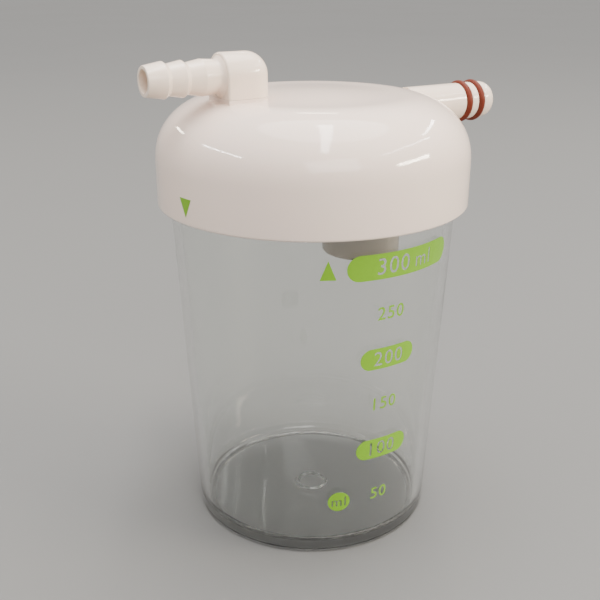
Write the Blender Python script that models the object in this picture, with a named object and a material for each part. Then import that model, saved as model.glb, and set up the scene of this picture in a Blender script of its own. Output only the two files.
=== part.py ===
"""Suction collection jar with a domed push-on lid, a barbed inlet elbow and a float shut-off valve.

Metres, +Z up. The origin is the centre of the jar's flat underside. The inlet barb points
towards -Y and the docking outlet towards +Y, both in the YZ plane.
"""

import math

import bmesh
import bpy
from mathutils import Matrix, Vector

# Shared clearances
FIT_GAP = 0.0003
RUNNING_GAP = 0.0001
CUT_OVERRUN = 0.002

# Facets
ROUND_STEPS = 48
SMALL_STEPS = 32
RING_STEPS = 8
DOME_STEPS = 8

# Jar: a cup that widens upwards, with a straight neck inside the lid
JAR_BASE_RADIUS = 0.0342
JAR_TOP_RADIUS = 0.0391
JAR_TAPER_HEIGHT = 0.0925
JAR_NECK_HEIGHT = 0.0115
JAR_WALL = 0.0023
JAR_FLOOR = 0.0022
JAR_EDGE_RADIUS = 0.0012
JAR_CORNER_RADIUS = 0.0030
JAR_RIM_RADIUS = 0.0008
GATE_RING_RADIUS = 0.0048
GATE_RING_WIDTH = 0.0008
GATE_RING_HEIGHT = 0.0004

# Lid: a skirt over the neck and a dome
LID_WALL = 0.0020
LID_SKIRT_SPACE = 0.0014
LID_SIDE_HEIGHT = 0.0120
LID_SHOULDER_WIDTH = 0.0185
LID_SHOULDER_HEIGHT = 0.0165
LID_SHOULDER_POWER = 2.1
LID_CROWN = 0.00085
LID_RIM_RADIUS = 0.0006
LID_RIBS = 8
LID_RIB_THICKNESS = 0.0016

# Plug ring under the lid, which carries the gasket inside the jar's neck
PLUG_WALL = 0.0022
PLUG_SEAL_SPACE = 0.0020
PLUG_LIP_CLEARANCE = 0.0005
PLUG_LIP_THICKNESS = 0.0012
PLUG_DEPTH = 0.0090
PLUG_LIP_RISE = 0.0010
GASKET_HEIGHT = 0.0026

# Inlet elbow
ELBOW_OFFSET = 0.0204
ELBOW_HALF_WIDTH = 0.00585
ELBOW_FACE_REACH = 0.0074
ELBOW_SEAT_CLEARANCE = 0.0003
ELBOW_AXIS_HEIGHT = 0.0053
ELBOW_EDGE_RADIUS = 0.0006
BARB_BORE_RADIUS = 0.0029
BARB_COUNT = 3
BARB_PITCH = 0.0050
BARB_CREST_RADIUS = 0.00455
BARB_NECK_RADIUS = 0.00383
BARB_STEP = 0.0011
BARB_TIP_LENGTH = 0.00485
BARB_TIP_RADIUS = 0.00375
BARB_ROOT_RADIUS = 0.0040
BARB_LENGTH = 0.0199
STEM_RADIUS = 0.0042
STEM_BORE_RADIUS = 0.0025
STEM_DEPTH = 0.0205
STEM_GROOVE_DEPTH = 0.0055
STEM_GROOVE_WIDTH = 0.0018
STEM_GROOVE_CUT = 0.0012
STEM_RING_SECTION = 0.0006
SNAP_STAND = 0.0008
SNAP_HEIGHT = 0.0014
INLET_BOSS_WALL = 0.0021
INLET_BOSS_DEPTH = 0.0130

# Docking outlet
OUTLET_COVER = 0.0006
OUTLET_RADIUS = 0.0053
OUTLET_BORE_RADIUS = 0.0026
OUTLET_TAIL_STEP = 0.0013
OUTLET_SHOULDER_INSET = 0.0115
OUTLET_REACH = 0.0175
OUTLET_LEAD_LENGTH = 0.0024
OUTLET_LEAD_DEPTH = 0.0008
OUTLET_BOSS_WALL = 0.0014
OUTLET_RING_SETBACKS = (0.0095, 0.0049)
OUTLET_RING_SECTION = 0.00095
OUTLET_RING_STAND = 0.0007
OUTLET_GROOVE_GAP = 0.0002

# Float valve
VALVE_OFFSET = 0.0167
VALVE_SOCKET_RADIUS = 0.00945
VALVE_SOCKET_WALL = 0.0018
VALVE_SOCKET_RISE = 0.0045
SEAT_FLANGE = 0.0017
SEAT_PLUG_HEIGHT = 0.0033
SEAT_HOLE_RADIUS = 0.0030
SEAT_LIP_WIDTH = 0.0010
SEAT_LIP_HEIGHT = 0.0008
CAGE_WALL = 0.0016
CAGE_DEPTH = 0.0175
CAGE_OVERLAP = 0.0080
CAGE_HOLE_RADIUS = 0.0035
CAGE_WINDOW_WIDTH = 0.0090
CAGE_WINDOW_LOW = 0.0075
CAGE_WINDOW_HEIGHT = 0.0095
FLOAT_CLEARANCE = 0.00065
FLOAT_HEIGHT = 0.0085
FLOAT_WALL = 0.0012
FLOAT_EDGE = 0.0005
STUD_RADIUS = 0.0015
STUD_HEAD_RADIUS = 0.0024
STUD_HEAD_HEIGHT = 0.0010
PAD_RADIUS = 0.0055
PAD_THICKNESS = 0.0015

# Heights and radii that follow
LID_RIM_Z = JAR_TAPER_HEIGHT
JAR_RIM_Z = JAR_TAPER_HEIGHT + JAR_NECK_HEIGHT
LID_SIDE_TOP_Z = LID_RIM_Z + LID_SIDE_HEIGHT
LID_TOP_Z = LID_SIDE_TOP_Z + LID_SHOULDER_HEIGHT
LID_RADIUS = JAR_TOP_RADIUS + LID_SKIRT_SPACE + LID_WALL
LID_FLAT_RADIUS = LID_RADIUS - LID_SHOULDER_WIDTH
NECK_BORE_RADIUS = JAR_TOP_RADIUS - JAR_WALL
PLUG_RADIUS = NECK_BORE_RADIUS - PLUG_SEAL_SPACE
PLUG_LIP_RADIUS = NECK_BORE_RADIUS - PLUG_LIP_CLEARANCE
PLUG_BORE_RADIUS = PLUG_RADIUS - PLUG_WALL
PLUG_END_Z = JAR_RIM_Z - PLUG_DEPTH
GROOVE_LOW_Z = PLUG_END_Z + PLUG_LIP_RISE + PLUG_LIP_THICKNESS
GROOVE_HIGH_Z = GROOVE_LOW_Z + GASKET_HEIGHT + 2 * FIT_GAP
LID_REST_Z = JAR_RIM_Z + FIT_GAP
STEM_GROOVE_RADIUS = STEM_RADIUS - STEM_GROOVE_CUT
SNAP_RADIUS = STEM_RADIUS + SNAP_STAND
INLET_BOSS_RADIUS = STEM_RADIUS + FIT_GAP + INLET_BOSS_WALL
OUTLET_Z = LID_TOP_Z - OUTLET_COVER - OUTLET_RADIUS
OUTLET_TAIL_RADIUS = OUTLET_RADIUS - OUTLET_TAIL_STEP
OUTLET_BOSS_RADIUS = OUTLET_RADIUS + FIT_GAP + OUTLET_BOSS_WALL
OUTLET_SHOULDER = LID_RADIUS - OUTLET_SHOULDER_INSET
OUTLET_END = LID_RADIUS + OUTLET_REACH
OUTLET_RINGS = tuple(OUTLET_END - setback for setback in OUTLET_RING_SETBACKS)
VALVE_SOCKET_END = LID_RIM_Z + VALVE_SOCKET_RISE
CAGE_BOTTOM = LID_RIM_Z - CAGE_DEPTH
CAGE_BORE_RADIUS = VALVE_SOCKET_RADIUS + FIT_GAP
CAGE_RADIUS = CAGE_BORE_RADIUS + CAGE_WALL
VALVE_BORE_RADIUS = VALVE_SOCKET_RADIUS - VALVE_SOCKET_WALL
SEAT_TOP_Z = VALVE_SOCKET_END - FIT_GAP
SEAT_FACE_Z = SEAT_TOP_Z - SEAT_FLANGE
FLOAT_RADIUS = CAGE_BORE_RADIUS - FLOAT_CLEARANCE
FLOAT_BOTTOM_Z = CAGE_BOTTOM + CAGE_WALL + FIT_GAP
FLOAT_TOP_Z = FLOAT_BOTTOM_Z + FLOAT_HEIGHT
PAD_BOTTOM_Z = FLOAT_TOP_Z + FIT_GAP
PAD_TOP_Z = PAD_BOTTOM_Z + PAD_THICKNESS

AXIS_Z = Matrix.Identity(4)
AXIS_Y = Matrix.Rotation(math.radians(-90), 4, "X")


def lid_outer_z(radius):
    """Height of the dome's outer surface at a radius."""
    if radius <= LID_FLAT_RADIUS:
        return LID_TOP_Z + LID_CROWN * (1 - (radius / LID_FLAT_RADIUS) ** 2) ** 2
    share = (radius - LID_FLAT_RADIUS) / LID_SHOULDER_WIDTH
    rise = (1 - share**LID_SHOULDER_POWER) ** (1 / LID_SHOULDER_POWER)
    return LID_SIDE_TOP_Z + LID_SHOULDER_HEIGHT * rise


PAD_SURFACE_Z = lid_outer_z(ELBOW_OFFSET - math.hypot(ELBOW_FACE_REACH, ELBOW_HALF_WIDTH))
ELBOW_FOOT_Z = PAD_SURFACE_Z + ELBOW_SEAT_CLEARANCE
BARB_Z = ELBOW_FOOT_Z + ELBOW_AXIS_HEIGHT


def clear_scene():
    for item in list(bpy.data.objects):
        bpy.data.objects.remove(item, do_unlink=True)


def material(name, colour, roughness, alpha=1.0, transmission=0.0):
    made = bpy.data.materials.new(name)
    made.use_nodes = True
    shader = made.node_tree.nodes["Principled BSDF"]
    shader.inputs["Base Color"].default_value = (*colour, 1.0)
    shader.inputs["Roughness"].default_value = roughness
    shader.inputs["Metallic"].default_value = 0.0
    shader.inputs["Alpha"].default_value = alpha
    shader.inputs["Transmission Weight"].default_value = transmission
    return made


def object_from(name, bm, place=(0, 0, 0), turn=AXIS_Z):
    """A named object at a place, from a mesh made round its own origin."""
    bmesh.ops.remove_doubles(bm, verts=bm.verts, dist=1e-7)
    bmesh.ops.recalc_face_normals(bm, faces=bm.faces)
    mesh = bpy.data.meshes.new(name)
    bm.to_mesh(mesh)
    bm.free()
    mesh.shade_smooth()
    mesh.set_sharp_from_angle(angle=math.radians(35))
    made = bpy.data.objects.new(name, mesh)
    made.matrix_world = Matrix.Translation(Vector(place)) @ turn
    bpy.context.scene.collection.objects.link(made)
    return made


def turned_mesh(outline, steps=ROUND_STEPS, closed=False, angle=2 * math.pi):
    """Outline points are (radius, height). An outline that starts and ends on the axis is open."""
    bm = bmesh.new()
    points = [bm.verts.new((radius, 0, height)) for radius, height in outline]
    pairs = list(zip(points, points[1:]))
    if closed:
        pairs.append((points[-1], points[0]))
    edges = [bm.edges.new(pair) for pair in pairs]
    full = angle >= 2 * math.pi
    bmesh.ops.spin(
        bm, geom=points + edges, cent=(0, 0, 0), axis=(0, 0, 1), dvec=(0, 0, 0),
        angle=angle, steps=steps, use_merge=full, use_normal_flip=False, use_duplicate=False,
    )
    if not full:
        bmesh.ops.holes_fill(bm, edges=bm.edges, sides=0)
    return bm


def turned(name, outline, place=(0, 0, 0), turn=AXIS_Z, steps=ROUND_STEPS, closed=False):
    return object_from(name, turned_mesh(outline, steps, closed), place, turn)


def rod(name, radius, low, high, place=(0, 0, 0), turn=AXIS_Z, steps=SMALL_STEPS):
    return turned(name, [(0, low), (radius, low), (radius, high), (0, high)], place, turn, steps)


def tube_outline(inner, outer, low, high):
    return [(inner, low), (outer, low), (outer, high), (inner, high)]


def arc(centre, radius, start, end, count):
    """Points on an arc in an outline's plane, with angles in degrees."""
    points = []
    for index in range(count + 1):
        angle = math.radians(start + (end - start) * index / count)
        points.append((centre[0] + radius * math.cos(angle), centre[1] + radius * math.sin(angle)))
    return points


def ring(name, centre_radius, section, place, turn=AXIS_Z):
    """An O-ring: a circle turned round the axis."""
    outline = arc((centre_radius, 0), section, 0, 360, RING_STEPS)[:-1]
    return turned(name, outline, place, turn, SMALL_STEPS, closed=True)


def tool(obj):
    """Marks an object as a Boolean operand that is no part of the jar."""
    obj.hide_render = True
    obj.display_type = "WIRE"
    return obj


def combine(obj, other, operation):
    step = obj.modifiers.new(operation.title() + " " + other.name, "BOOLEAN")
    step.operation = operation
    step.solver = "EXACT"
    step.object = tool(other)


def attach(child, parent):
    child.parent = parent
    child.matrix_parent_inverse = parent.matrix_world.inverted()


def finish(obj, finish_material):
    obj.data.materials.append(finish_material)
    return obj


def jar_radius(height):
    """Outer radius of the tapered side at a height."""
    share = min(height, JAR_TAPER_HEIGHT) / JAR_TAPER_HEIGHT
    return JAR_BASE_RADIUS + (JAR_TOP_RADIUS - JAR_BASE_RADIUS) * share


def jar_outline():
    edge = JAR_EDGE_RADIUS
    corner = JAR_CORNER_RADIUS
    rim = JAR_RIM_RADIUS
    bore = jar_radius(JAR_FLOOR) - JAR_WALL
    outline = [(0, 0)]
    outline += arc((jar_radius(edge) - edge, edge), edge, -90, 0, 4)
    outline += [(JAR_TOP_RADIUS, JAR_TAPER_HEIGHT)]
    outline += arc((JAR_TOP_RADIUS - rim, JAR_RIM_Z - rim), rim, 0, 90, 3)
    outline += arc((NECK_BORE_RADIUS + rim, JAR_RIM_Z - rim), rim, 90, 180, 3)
    outline += [(NECK_BORE_RADIUS, JAR_TAPER_HEIGHT)]
    outline += arc((bore - corner, JAR_FLOOR + corner), corner, 0, -90, 5)
    outline += [(GATE_RING_RADIUS, JAR_FLOOR)]
    outline += [(GATE_RING_RADIUS - GATE_RING_WIDTH / 2, JAR_FLOOR + GATE_RING_HEIGHT)]
    outline += [(GATE_RING_RADIUS - GATE_RING_WIDTH, JAR_FLOOR)]
    outline += [(0, JAR_FLOOR)]
    return outline


def make_jar(clear_plastic):
    return finish(turned("jar", jar_outline()), clear_plastic)


def dome_outline(inset, low, count):
    """The lid's outer surface moved in by an inset, from the rim to the axis."""
    radius = LID_RADIUS - inset
    flat = LID_FLAT_RADIUS
    outline = []
    for index in range(count + 1):
        angle = math.radians(90 * index / count)
        across = (LID_SHOULDER_WIDTH - inset) * math.cos(angle) ** (2 / LID_SHOULDER_POWER)
        rise = (LID_SHOULDER_HEIGHT - inset) * math.sin(angle) ** (2 / LID_SHOULDER_POWER)
        outline.append((flat + across, LID_SIDE_TOP_Z + rise))
    for share in (0.75, 0.5, 0.25, 0.0):
        crown = LID_CROWN * (1 - share**2) ** 2
        outline.append((flat * share, LID_TOP_Z - inset + crown))
    return [(0, low), (radius, low)] + outline


def lid_body_outline():
    rim = LID_RIM_RADIUS
    outline = dome_outline(0, LID_RIM_Z, DOME_STEPS)
    corner = arc((LID_RADIUS - rim, LID_RIM_Z + rim), rim, -90, 0, 3)
    return outline[:1] + corner + outline[2:]


def lid_hollow_outline():
    """The space under the lid: the skirt's bore, the gasket groove and the dome's inside."""
    low = LID_RIM_Z - CUT_OVERRUN
    skirt = LID_RADIUS - LID_WALL
    lip_low = PLUG_END_Z + PLUG_LIP_RISE
    outline = [(0, low), (skirt, low), (skirt, LID_REST_Z), (PLUG_RADIUS, LID_REST_Z)]
    outline += [(PLUG_RADIUS, GROOVE_HIGH_Z + PLUG_LIP_THICKNESS)]
    outline += [(PLUG_LIP_RADIUS, GROOVE_HIGH_Z + PLUG_LIP_THICKNESS)]
    outline += [(PLUG_LIP_RADIUS, GROOVE_HIGH_Z), (PLUG_RADIUS, GROOVE_HIGH_Z)]
    outline += [(PLUG_RADIUS, GROOVE_LOW_Z), (PLUG_LIP_RADIUS, GROOVE_LOW_Z)]
    outline += [(PLUG_LIP_RADIUS, lip_low), (PLUG_RADIUS, lip_low)]
    outline += [(PLUG_RADIUS, PLUG_END_Z), (PLUG_BORE_RADIUS, PLUG_END_Z)]
    dome = dome_outline(LID_WALL, low, 24)[2:]
    outline += [(PLUG_BORE_RADIUS, lid_inner_z(PLUG_BORE_RADIUS))]
    outline += [point for point in dome[2::3] if point[0] < PLUG_BORE_RADIUS - LID_RIM_RADIUS]
    outline += [(0, LID_TOP_Z - LID_WALL + LID_CROWN)]
    return outline


def lid_inner_z(radius):
    """Height of the dome's inner surface on its shoulder."""
    share = (radius - LID_FLAT_RADIUS) / (LID_SHOULDER_WIDTH - LID_WALL)
    rise = (1 - share**LID_SHOULDER_POWER) ** (1 / LID_SHOULDER_POWER)
    return LID_SIDE_TOP_Z + (LID_SHOULDER_HEIGHT - LID_WALL) * rise


def rib_gap_outline():
    """The space between two ribs, from the plug ring out to the dome."""
    low = LID_REST_Z - CUT_OVERRUN
    skirt = LID_RADIUS - LID_WALL
    dome = dome_outline(LID_WALL, low, 24)[2:]
    shoulder = [point for point in dome[0:24:3] if point[0] > PLUG_RADIUS + LID_RIM_RADIUS]
    return (
        [(PLUG_RADIUS, low), (skirt, low)]
        + shoulder
        + [(PLUG_RADIUS, lid_inner_z(PLUG_RADIUS))]
    )


def rib_gaps():
    """All the gaps between the ribs, as one tool of separate solids."""
    pitch = 2 * math.pi / LID_RIBS
    rib_angle = LID_RIB_THICKNESS / (PLUG_RADIUS + LID_WALL)
    whole = bmesh.new()
    one = turned_mesh(rib_gap_outline(), 5, closed=True, angle=pitch - rib_angle)
    bmesh.ops.recalc_face_normals(one, faces=one.faces)
    mesh = bpy.data.meshes.new("rib_gap")
    one.to_mesh(mesh)
    one.free()
    for index in range(LID_RIBS):
        start = len(whole.verts)
        whole.from_mesh(mesh)
        whole.verts.ensure_lookup_table()
        spread = Matrix.Rotation((index + 0.5) * pitch + rib_angle / 2, 4, "Z")
        bmesh.ops.transform(whole, matrix=spread, verts=whole.verts[start:])
    return object_from("rib_gaps", whole)


def elbow_plan(bm, height):
    """The elbow's footprint: a half circle at the back and a flat face in front."""
    back = arc((0, 0), ELBOW_HALF_WIDTH, 0, 180, 16)
    front = [(-ELBOW_HALF_WIDTH, -ELBOW_FACE_REACH), (ELBOW_HALF_WIDTH, -ELBOW_FACE_REACH)]
    return bm.faces.new([bm.verts.new((x, y, height)) for x, y in back + front])


def elbow_pad():
    """The flat pad on the dome that the elbow's foot turns on."""
    bm = bmesh.new()
    low = LID_TOP_Z - LID_WALL / 2
    face = elbow_plan(bm, low)
    grown = bmesh.ops.extrude_face_region(bm, geom=[face])
    top = [item for item in grown["geom"] if isinstance(item, bmesh.types.BMVert)]
    bmesh.ops.translate(bm, vec=(0, 0, PAD_SURFACE_Z - low), verts=top)
    return object_from("elbow_pad", bm, (0, -ELBOW_OFFSET, 0))


def outlet_boss(name):
    """The thick land round the outlet, kept under the dome's outer surface."""
    boss = rod(name, OUTLET_BOSS_RADIUS, VALVE_OFFSET, LID_RADIUS, (0, 0, OUTLET_Z), AXIS_Y)
    limit = turned("dome_limit", dome_outline(LID_WALL / 3, LID_RIM_Z, DOME_STEPS))
    combine(boss, limit, "INTERSECT")
    return boss


def make_lid_shell(white_plastic):
    lid = turned("lid_shell", lid_body_outline())
    boss_top = LID_TOP_Z - LID_WALL / 2
    valve = (0, VALVE_OFFSET, 0)
    inlet = (0, -ELBOW_OFFSET, 0)
    outlet = (0, 0, OUTLET_Z)
    boss_low = PAD_SURFACE_Z - INLET_BOSS_DEPTH
    combine(lid, turned("lid_hollow", lid_hollow_outline()), "DIFFERENCE")
    combine(lid, rib_gaps(), "DIFFERENCE")
    combine(lid, rod("valve_boss", VALVE_SOCKET_RADIUS, VALVE_SOCKET_END, boss_top, valve), "UNION")
    combine(lid, outlet_boss("outlet_boss"), "UNION")
    combine(lid, rod("inlet_boss", INLET_BOSS_RADIUS, boss_low, boss_top, inlet), "UNION")
    combine(lid, elbow_pad(), "UNION")
    bore_low = VALVE_SOCKET_END - CUT_OVERRUN
    bore_high = LID_TOP_Z - LID_WALL - FIT_GAP
    combine(lid, rod("valve_bore", VALVE_BORE_RADIUS, bore_low, bore_high, valve), "DIFFERENCE")
    tail = OUTLET_TAIL_RADIUS + FIT_GAP
    step = OUTLET_SHOULDER - FIT_GAP
    passage = [(0, VALVE_OFFSET), (tail, VALVE_OFFSET), (tail, step), (OUTLET_RADIUS + FIT_GAP, step)]
    passage += [(OUTLET_RADIUS + FIT_GAP, OUTLET_END), (0, OUTLET_END)]
    combine(lid, turned("outlet_passage", passage, outlet, AXIS_Y, SMALL_STEPS), "DIFFERENCE")
    bore = STEM_RADIUS + FIT_GAP
    bore_low = boss_low - CUT_OVERRUN
    combine(lid, rod("inlet_bore", bore, bore_low, LID_TOP_Z + CUT_OVERRUN, inlet), "DIFFERENCE")
    return finish(lid, white_plastic)


def make_lid_gasket(silicone):
    low = GROOVE_LOW_Z + FIT_GAP
    inner = PLUG_RADIUS + FIT_GAP
    outer = NECK_BORE_RADIUS - FIT_GAP
    bulge = (outer - inner) / 2
    outline = [(inner, -GASKET_HEIGHT / 2), (outer - bulge, -GASKET_HEIGHT / 2)]
    outline += [(outer, -GASKET_HEIGHT / 4), (outer, GASKET_HEIGHT / 4)]
    outline += [(outer - bulge, GASKET_HEIGHT / 2), (inner, GASKET_HEIGHT / 2)]
    return finish(turned("lid_gasket", outline, (0, 0, low + GASKET_HEIGHT / 2), closed=True), silicone)


def outlet_outline():
    """Outer and inner surface of the docking outlet, along +Y from the valve's chamber."""
    start = VALVE_OFFSET + VALVE_BORE_RADIUS + FIT_GAP
    groove = OUTLET_RADIUS + OUTLET_RING_STAND - 2 * OUTLET_RING_SECTION - OUTLET_GROOVE_GAP
    half = OUTLET_RING_SECTION + OUTLET_GROOVE_GAP
    outline = [(OUTLET_BORE_RADIUS, start), (OUTLET_TAIL_RADIUS, start)]
    outline += [(OUTLET_TAIL_RADIUS, OUTLET_SHOULDER), (OUTLET_RADIUS, OUTLET_SHOULDER)]
    for centre in OUTLET_RINGS:
        outline += [(OUTLET_RADIUS, centre - half), (groove, centre - half)]
        outline += [(groove, centre + half), (OUTLET_RADIUS, centre + half)]
    lead = OUTLET_END - OUTLET_LEAD_LENGTH
    outline += [(OUTLET_RADIUS, lead)]
    outline += [(OUTLET_RADIUS - OUTLET_LEAD_DEPTH / 4, lead + OUTLET_LEAD_LENGTH / 2)]
    outline += [(OUTLET_RADIUS - OUTLET_LEAD_DEPTH, OUTLET_END), (OUTLET_BORE_RADIUS, OUTLET_END)]
    return outline


def make_outlet(cream_plastic, red_rubber):
    place = (0, 0, OUTLET_Z)
    spigot = turned("outlet_spigot", outlet_outline(), place, AXIS_Y, SMALL_STEPS, closed=True)
    finish(spigot, cream_plastic)
    centre_radius = OUTLET_RADIUS + OUTLET_RING_STAND - OUTLET_RING_SECTION
    pieces = [spigot]
    for name, centre in zip(("spigot_o_ring_inner", "spigot_o_ring_outer"), OUTLET_RINGS):
        seal = ring(name, centre_radius, OUTLET_RING_SECTION, (0, centre, OUTLET_Z), AXIS_Y)
        pieces.append(finish(seal, red_rubber))
    return pieces


def make_valve_seat(white_plastic):
    lip = SEAT_FACE_Z - SEAT_LIP_HEIGHT
    outline = [(SEAT_HOLE_RADIUS, lip), (SEAT_HOLE_RADIUS + SEAT_LIP_WIDTH, lip)]
    outline += [(SEAT_HOLE_RADIUS + SEAT_LIP_WIDTH, SEAT_FACE_Z), (VALVE_SOCKET_RADIUS, SEAT_FACE_Z)]
    outline += [(VALVE_SOCKET_RADIUS, SEAT_TOP_Z), (VALVE_BORE_RADIUS - FIT_GAP, SEAT_TOP_Z)]
    outline += [(VALVE_BORE_RADIUS - FIT_GAP, SEAT_TOP_Z + SEAT_PLUG_HEIGHT)]
    outline += [(SEAT_HOLE_RADIUS, SEAT_TOP_Z + SEAT_PLUG_HEIGHT)]
    seat = turned("valve_seat", outline, (0, VALVE_OFFSET, 0), steps=SMALL_STEPS, closed=True)
    return finish(seat, white_plastic)


def window_bar(name, along):
    """A bar that cuts two facing windows through the cage."""
    bm = bmesh.new()
    bmesh.ops.create_cube(bm, size=1)
    length = 2 * (CAGE_RADIUS + CUT_OVERRUN)
    sizes = {"X": (length, CAGE_WINDOW_WIDTH), "Y": (CAGE_WINDOW_WIDTH, length)}[along]
    bmesh.ops.scale(bm, vec=(*sizes, CAGE_WINDOW_HEIGHT), verts=bm.verts)
    middle = CAGE_BOTTOM + CAGE_WINDOW_LOW + CAGE_WINDOW_HEIGHT / 2
    return object_from(name, bm, (0, VALVE_OFFSET, middle))


def make_float_cage(cream_plastic):
    top = VALVE_SOCKET_END + CAGE_OVERLAP
    floor = CAGE_BOTTOM + CAGE_WALL
    outline = [(CAGE_HOLE_RADIUS, CAGE_BOTTOM), (CAGE_RADIUS, CAGE_BOTTOM), (CAGE_RADIUS, top)]
    outline += [(CAGE_BORE_RADIUS, top), (CAGE_BORE_RADIUS, floor), (CAGE_HOLE_RADIUS, floor)]
    cage = turned("float_cage", outline, (0, VALVE_OFFSET, 0), steps=SMALL_STEPS, closed=True)
    combine(cage, window_bar("window_x", "X"), "DIFFERENCE")
    combine(cage, window_bar("window_y", "Y"), "DIFFERENCE")
    return finish(cage, cream_plastic)


def make_float(cream_plastic, silicone):
    """The inverted cup and the pad held on its stud. Heights are from the cup's lower edge."""
    edge = FLOAT_EDGE
    stud = PAD_TOP_Z - FLOAT_BOTTOM_Z + FIT_GAP
    outline = [(0, FLOAT_HEIGHT - FLOAT_WALL), (FLOAT_RADIUS - FLOAT_WALL, FLOAT_HEIGHT - FLOAT_WALL)]
    outline += [(FLOAT_RADIUS - FLOAT_WALL, 0), (FLOAT_RADIUS, 0)]
    outline += arc((FLOAT_RADIUS - edge, FLOAT_HEIGHT - edge), edge, 0, 90, 3)
    outline += [(STUD_RADIUS, FLOAT_HEIGHT), (STUD_RADIUS, stud), (STUD_HEAD_RADIUS, stud)]
    outline += [(STUD_RADIUS, stud + STUD_HEAD_HEIGHT), (0, stud + STUD_HEAD_HEIGHT)]
    cup = turned("float", outline, (0, VALVE_OFFSET, FLOAT_BOTTOM_Z), steps=SMALL_STEPS)
    finish(cup, cream_plastic)
    pad_outline = tube_outline(STUD_RADIUS + FIT_GAP, PAD_RADIUS, 0, PAD_THICKNESS)
    place = (0, VALVE_OFFSET, PAD_BOTTOM_Z)
    pad = turned("float_seal", pad_outline, place, steps=SMALL_STEPS, closed=True)
    finish(pad, silicone)
    attach(pad, cup)
    return cup


def elbow_housing():
    """The elbow's body: a ball-topped half cylinder at the back, carried forward to a flat face."""
    side = [(0, ELBOW_AXIS_HEIGHT + ELBOW_HALF_WIDTH)]
    side += arc((0, ELBOW_AXIS_HEIGHT), ELBOW_HALF_WIDTH, 90, 0, 8)[1:]
    side += [(ELBOW_HALF_WIDTH, 0)]
    bm = bmesh.new()
    points = [bm.verts.new((radius, 0, height)) for radius, height in side]
    edges = [bm.edges.new(pair) for pair in zip(points, points[1:])]
    bmesh.ops.spin(
        bm, geom=points + edges, cent=(0, 0, 0), axis=(0, 0, 1), dvec=(0, 0, 0),
        angle=math.pi, steps=16, use_merge=False, use_normal_flip=False, use_duplicate=False,
    )
    bmesh.ops.remove_doubles(bm, verts=bm.verts, dist=1e-7)
    arch = [edge for edge in bm.edges if all(abs(vert.co.y) < 1e-7 for vert in edge.verts)]
    grown = bmesh.ops.extrude_edge_only(bm, edges=arch)
    moved = [item for item in grown["geom"] if isinstance(item, bmesh.types.BMVert)]
    bmesh.ops.translate(bm, vec=(0, -ELBOW_FACE_REACH, 0), verts=moved)
    front = [edge for edge in bm.edges if all(vert in moved for vert in edge.verts)]
    corners = [vert for vert in moved if vert.co.z < 1e-7]
    front.append(bm.edges.new(corners))
    bmesh.ops.edgenet_fill(bm, edges=front)
    bmesh.ops.holes_fill(bm, edges=bm.edges, sides=0)
    bmesh.ops.recalc_face_normals(bm, faces=bm.faces)
    front_y = -ELBOW_FACE_REACH + 1e-7
    rounded = [edge for edge in bm.edges if all(vert.co.y < front_y for vert in edge.verts)]
    rounded = [edge for edge in rounded if not all(vert.co.z < 1e-7 for vert in edge.verts)]
    bmesh.ops.bevel(
        bm, geom=rounded, offset=ELBOW_EDGE_RADIUS, offset_type="OFFSET", affect="EDGES",
        segments=3, profile=0.5, material=-1,
    )
    return bm


def barb_outline():
    """The barbed tube, from inside the housing to its open end, as radius and distance from the axis."""
    face = ELBOW_FACE_REACH
    end = face + BARB_LENGTH
    outline = [(0, face / 2), (BARB_ROOT_RADIUS, face / 2)]
    crest = end - BARB_TIP_LENGTH - BARB_PITCH * (BARB_COUNT - 1)
    for index in range(BARB_COUNT):
        outline.append((BARB_CREST_RADIUS, crest))
        crest += BARB_PITCH
        if index < BARB_COUNT - 1:
            outline.append((BARB_NECK_RADIUS, crest - BARB_STEP))
    outline += [(BARB_TIP_RADIUS, end), (0, end)]
    return outline


def stem_outline():
    """The stem that turns in the lid, with its O-ring groove and its snap bead, hanging below the foot."""
    inside = ELBOW_AXIS_HEIGHT / 2
    groove = -STEM_GROOVE_DEPTH
    snap = -(INLET_BOSS_DEPTH + ELBOW_SEAT_CLEARANCE + FIT_GAP)
    groove_end = groove - STEM_GROOVE_WIDTH
    outline = [(0, inside), (STEM_RADIUS, inside), (STEM_RADIUS, groove), (STEM_GROOVE_RADIUS, groove)]
    outline += [(STEM_GROOVE_RADIUS, groove_end), (STEM_RADIUS, groove_end)]
    outline += [(STEM_RADIUS, snap), (SNAP_RADIUS, snap), (SNAP_RADIUS, snap - SNAP_HEIGHT / 2)]
    outline += [(STEM_RADIUS, snap - SNAP_HEIGHT), (STEM_RADIUS, -STEM_DEPTH), (0, -STEM_DEPTH)]
    return outline


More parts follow.
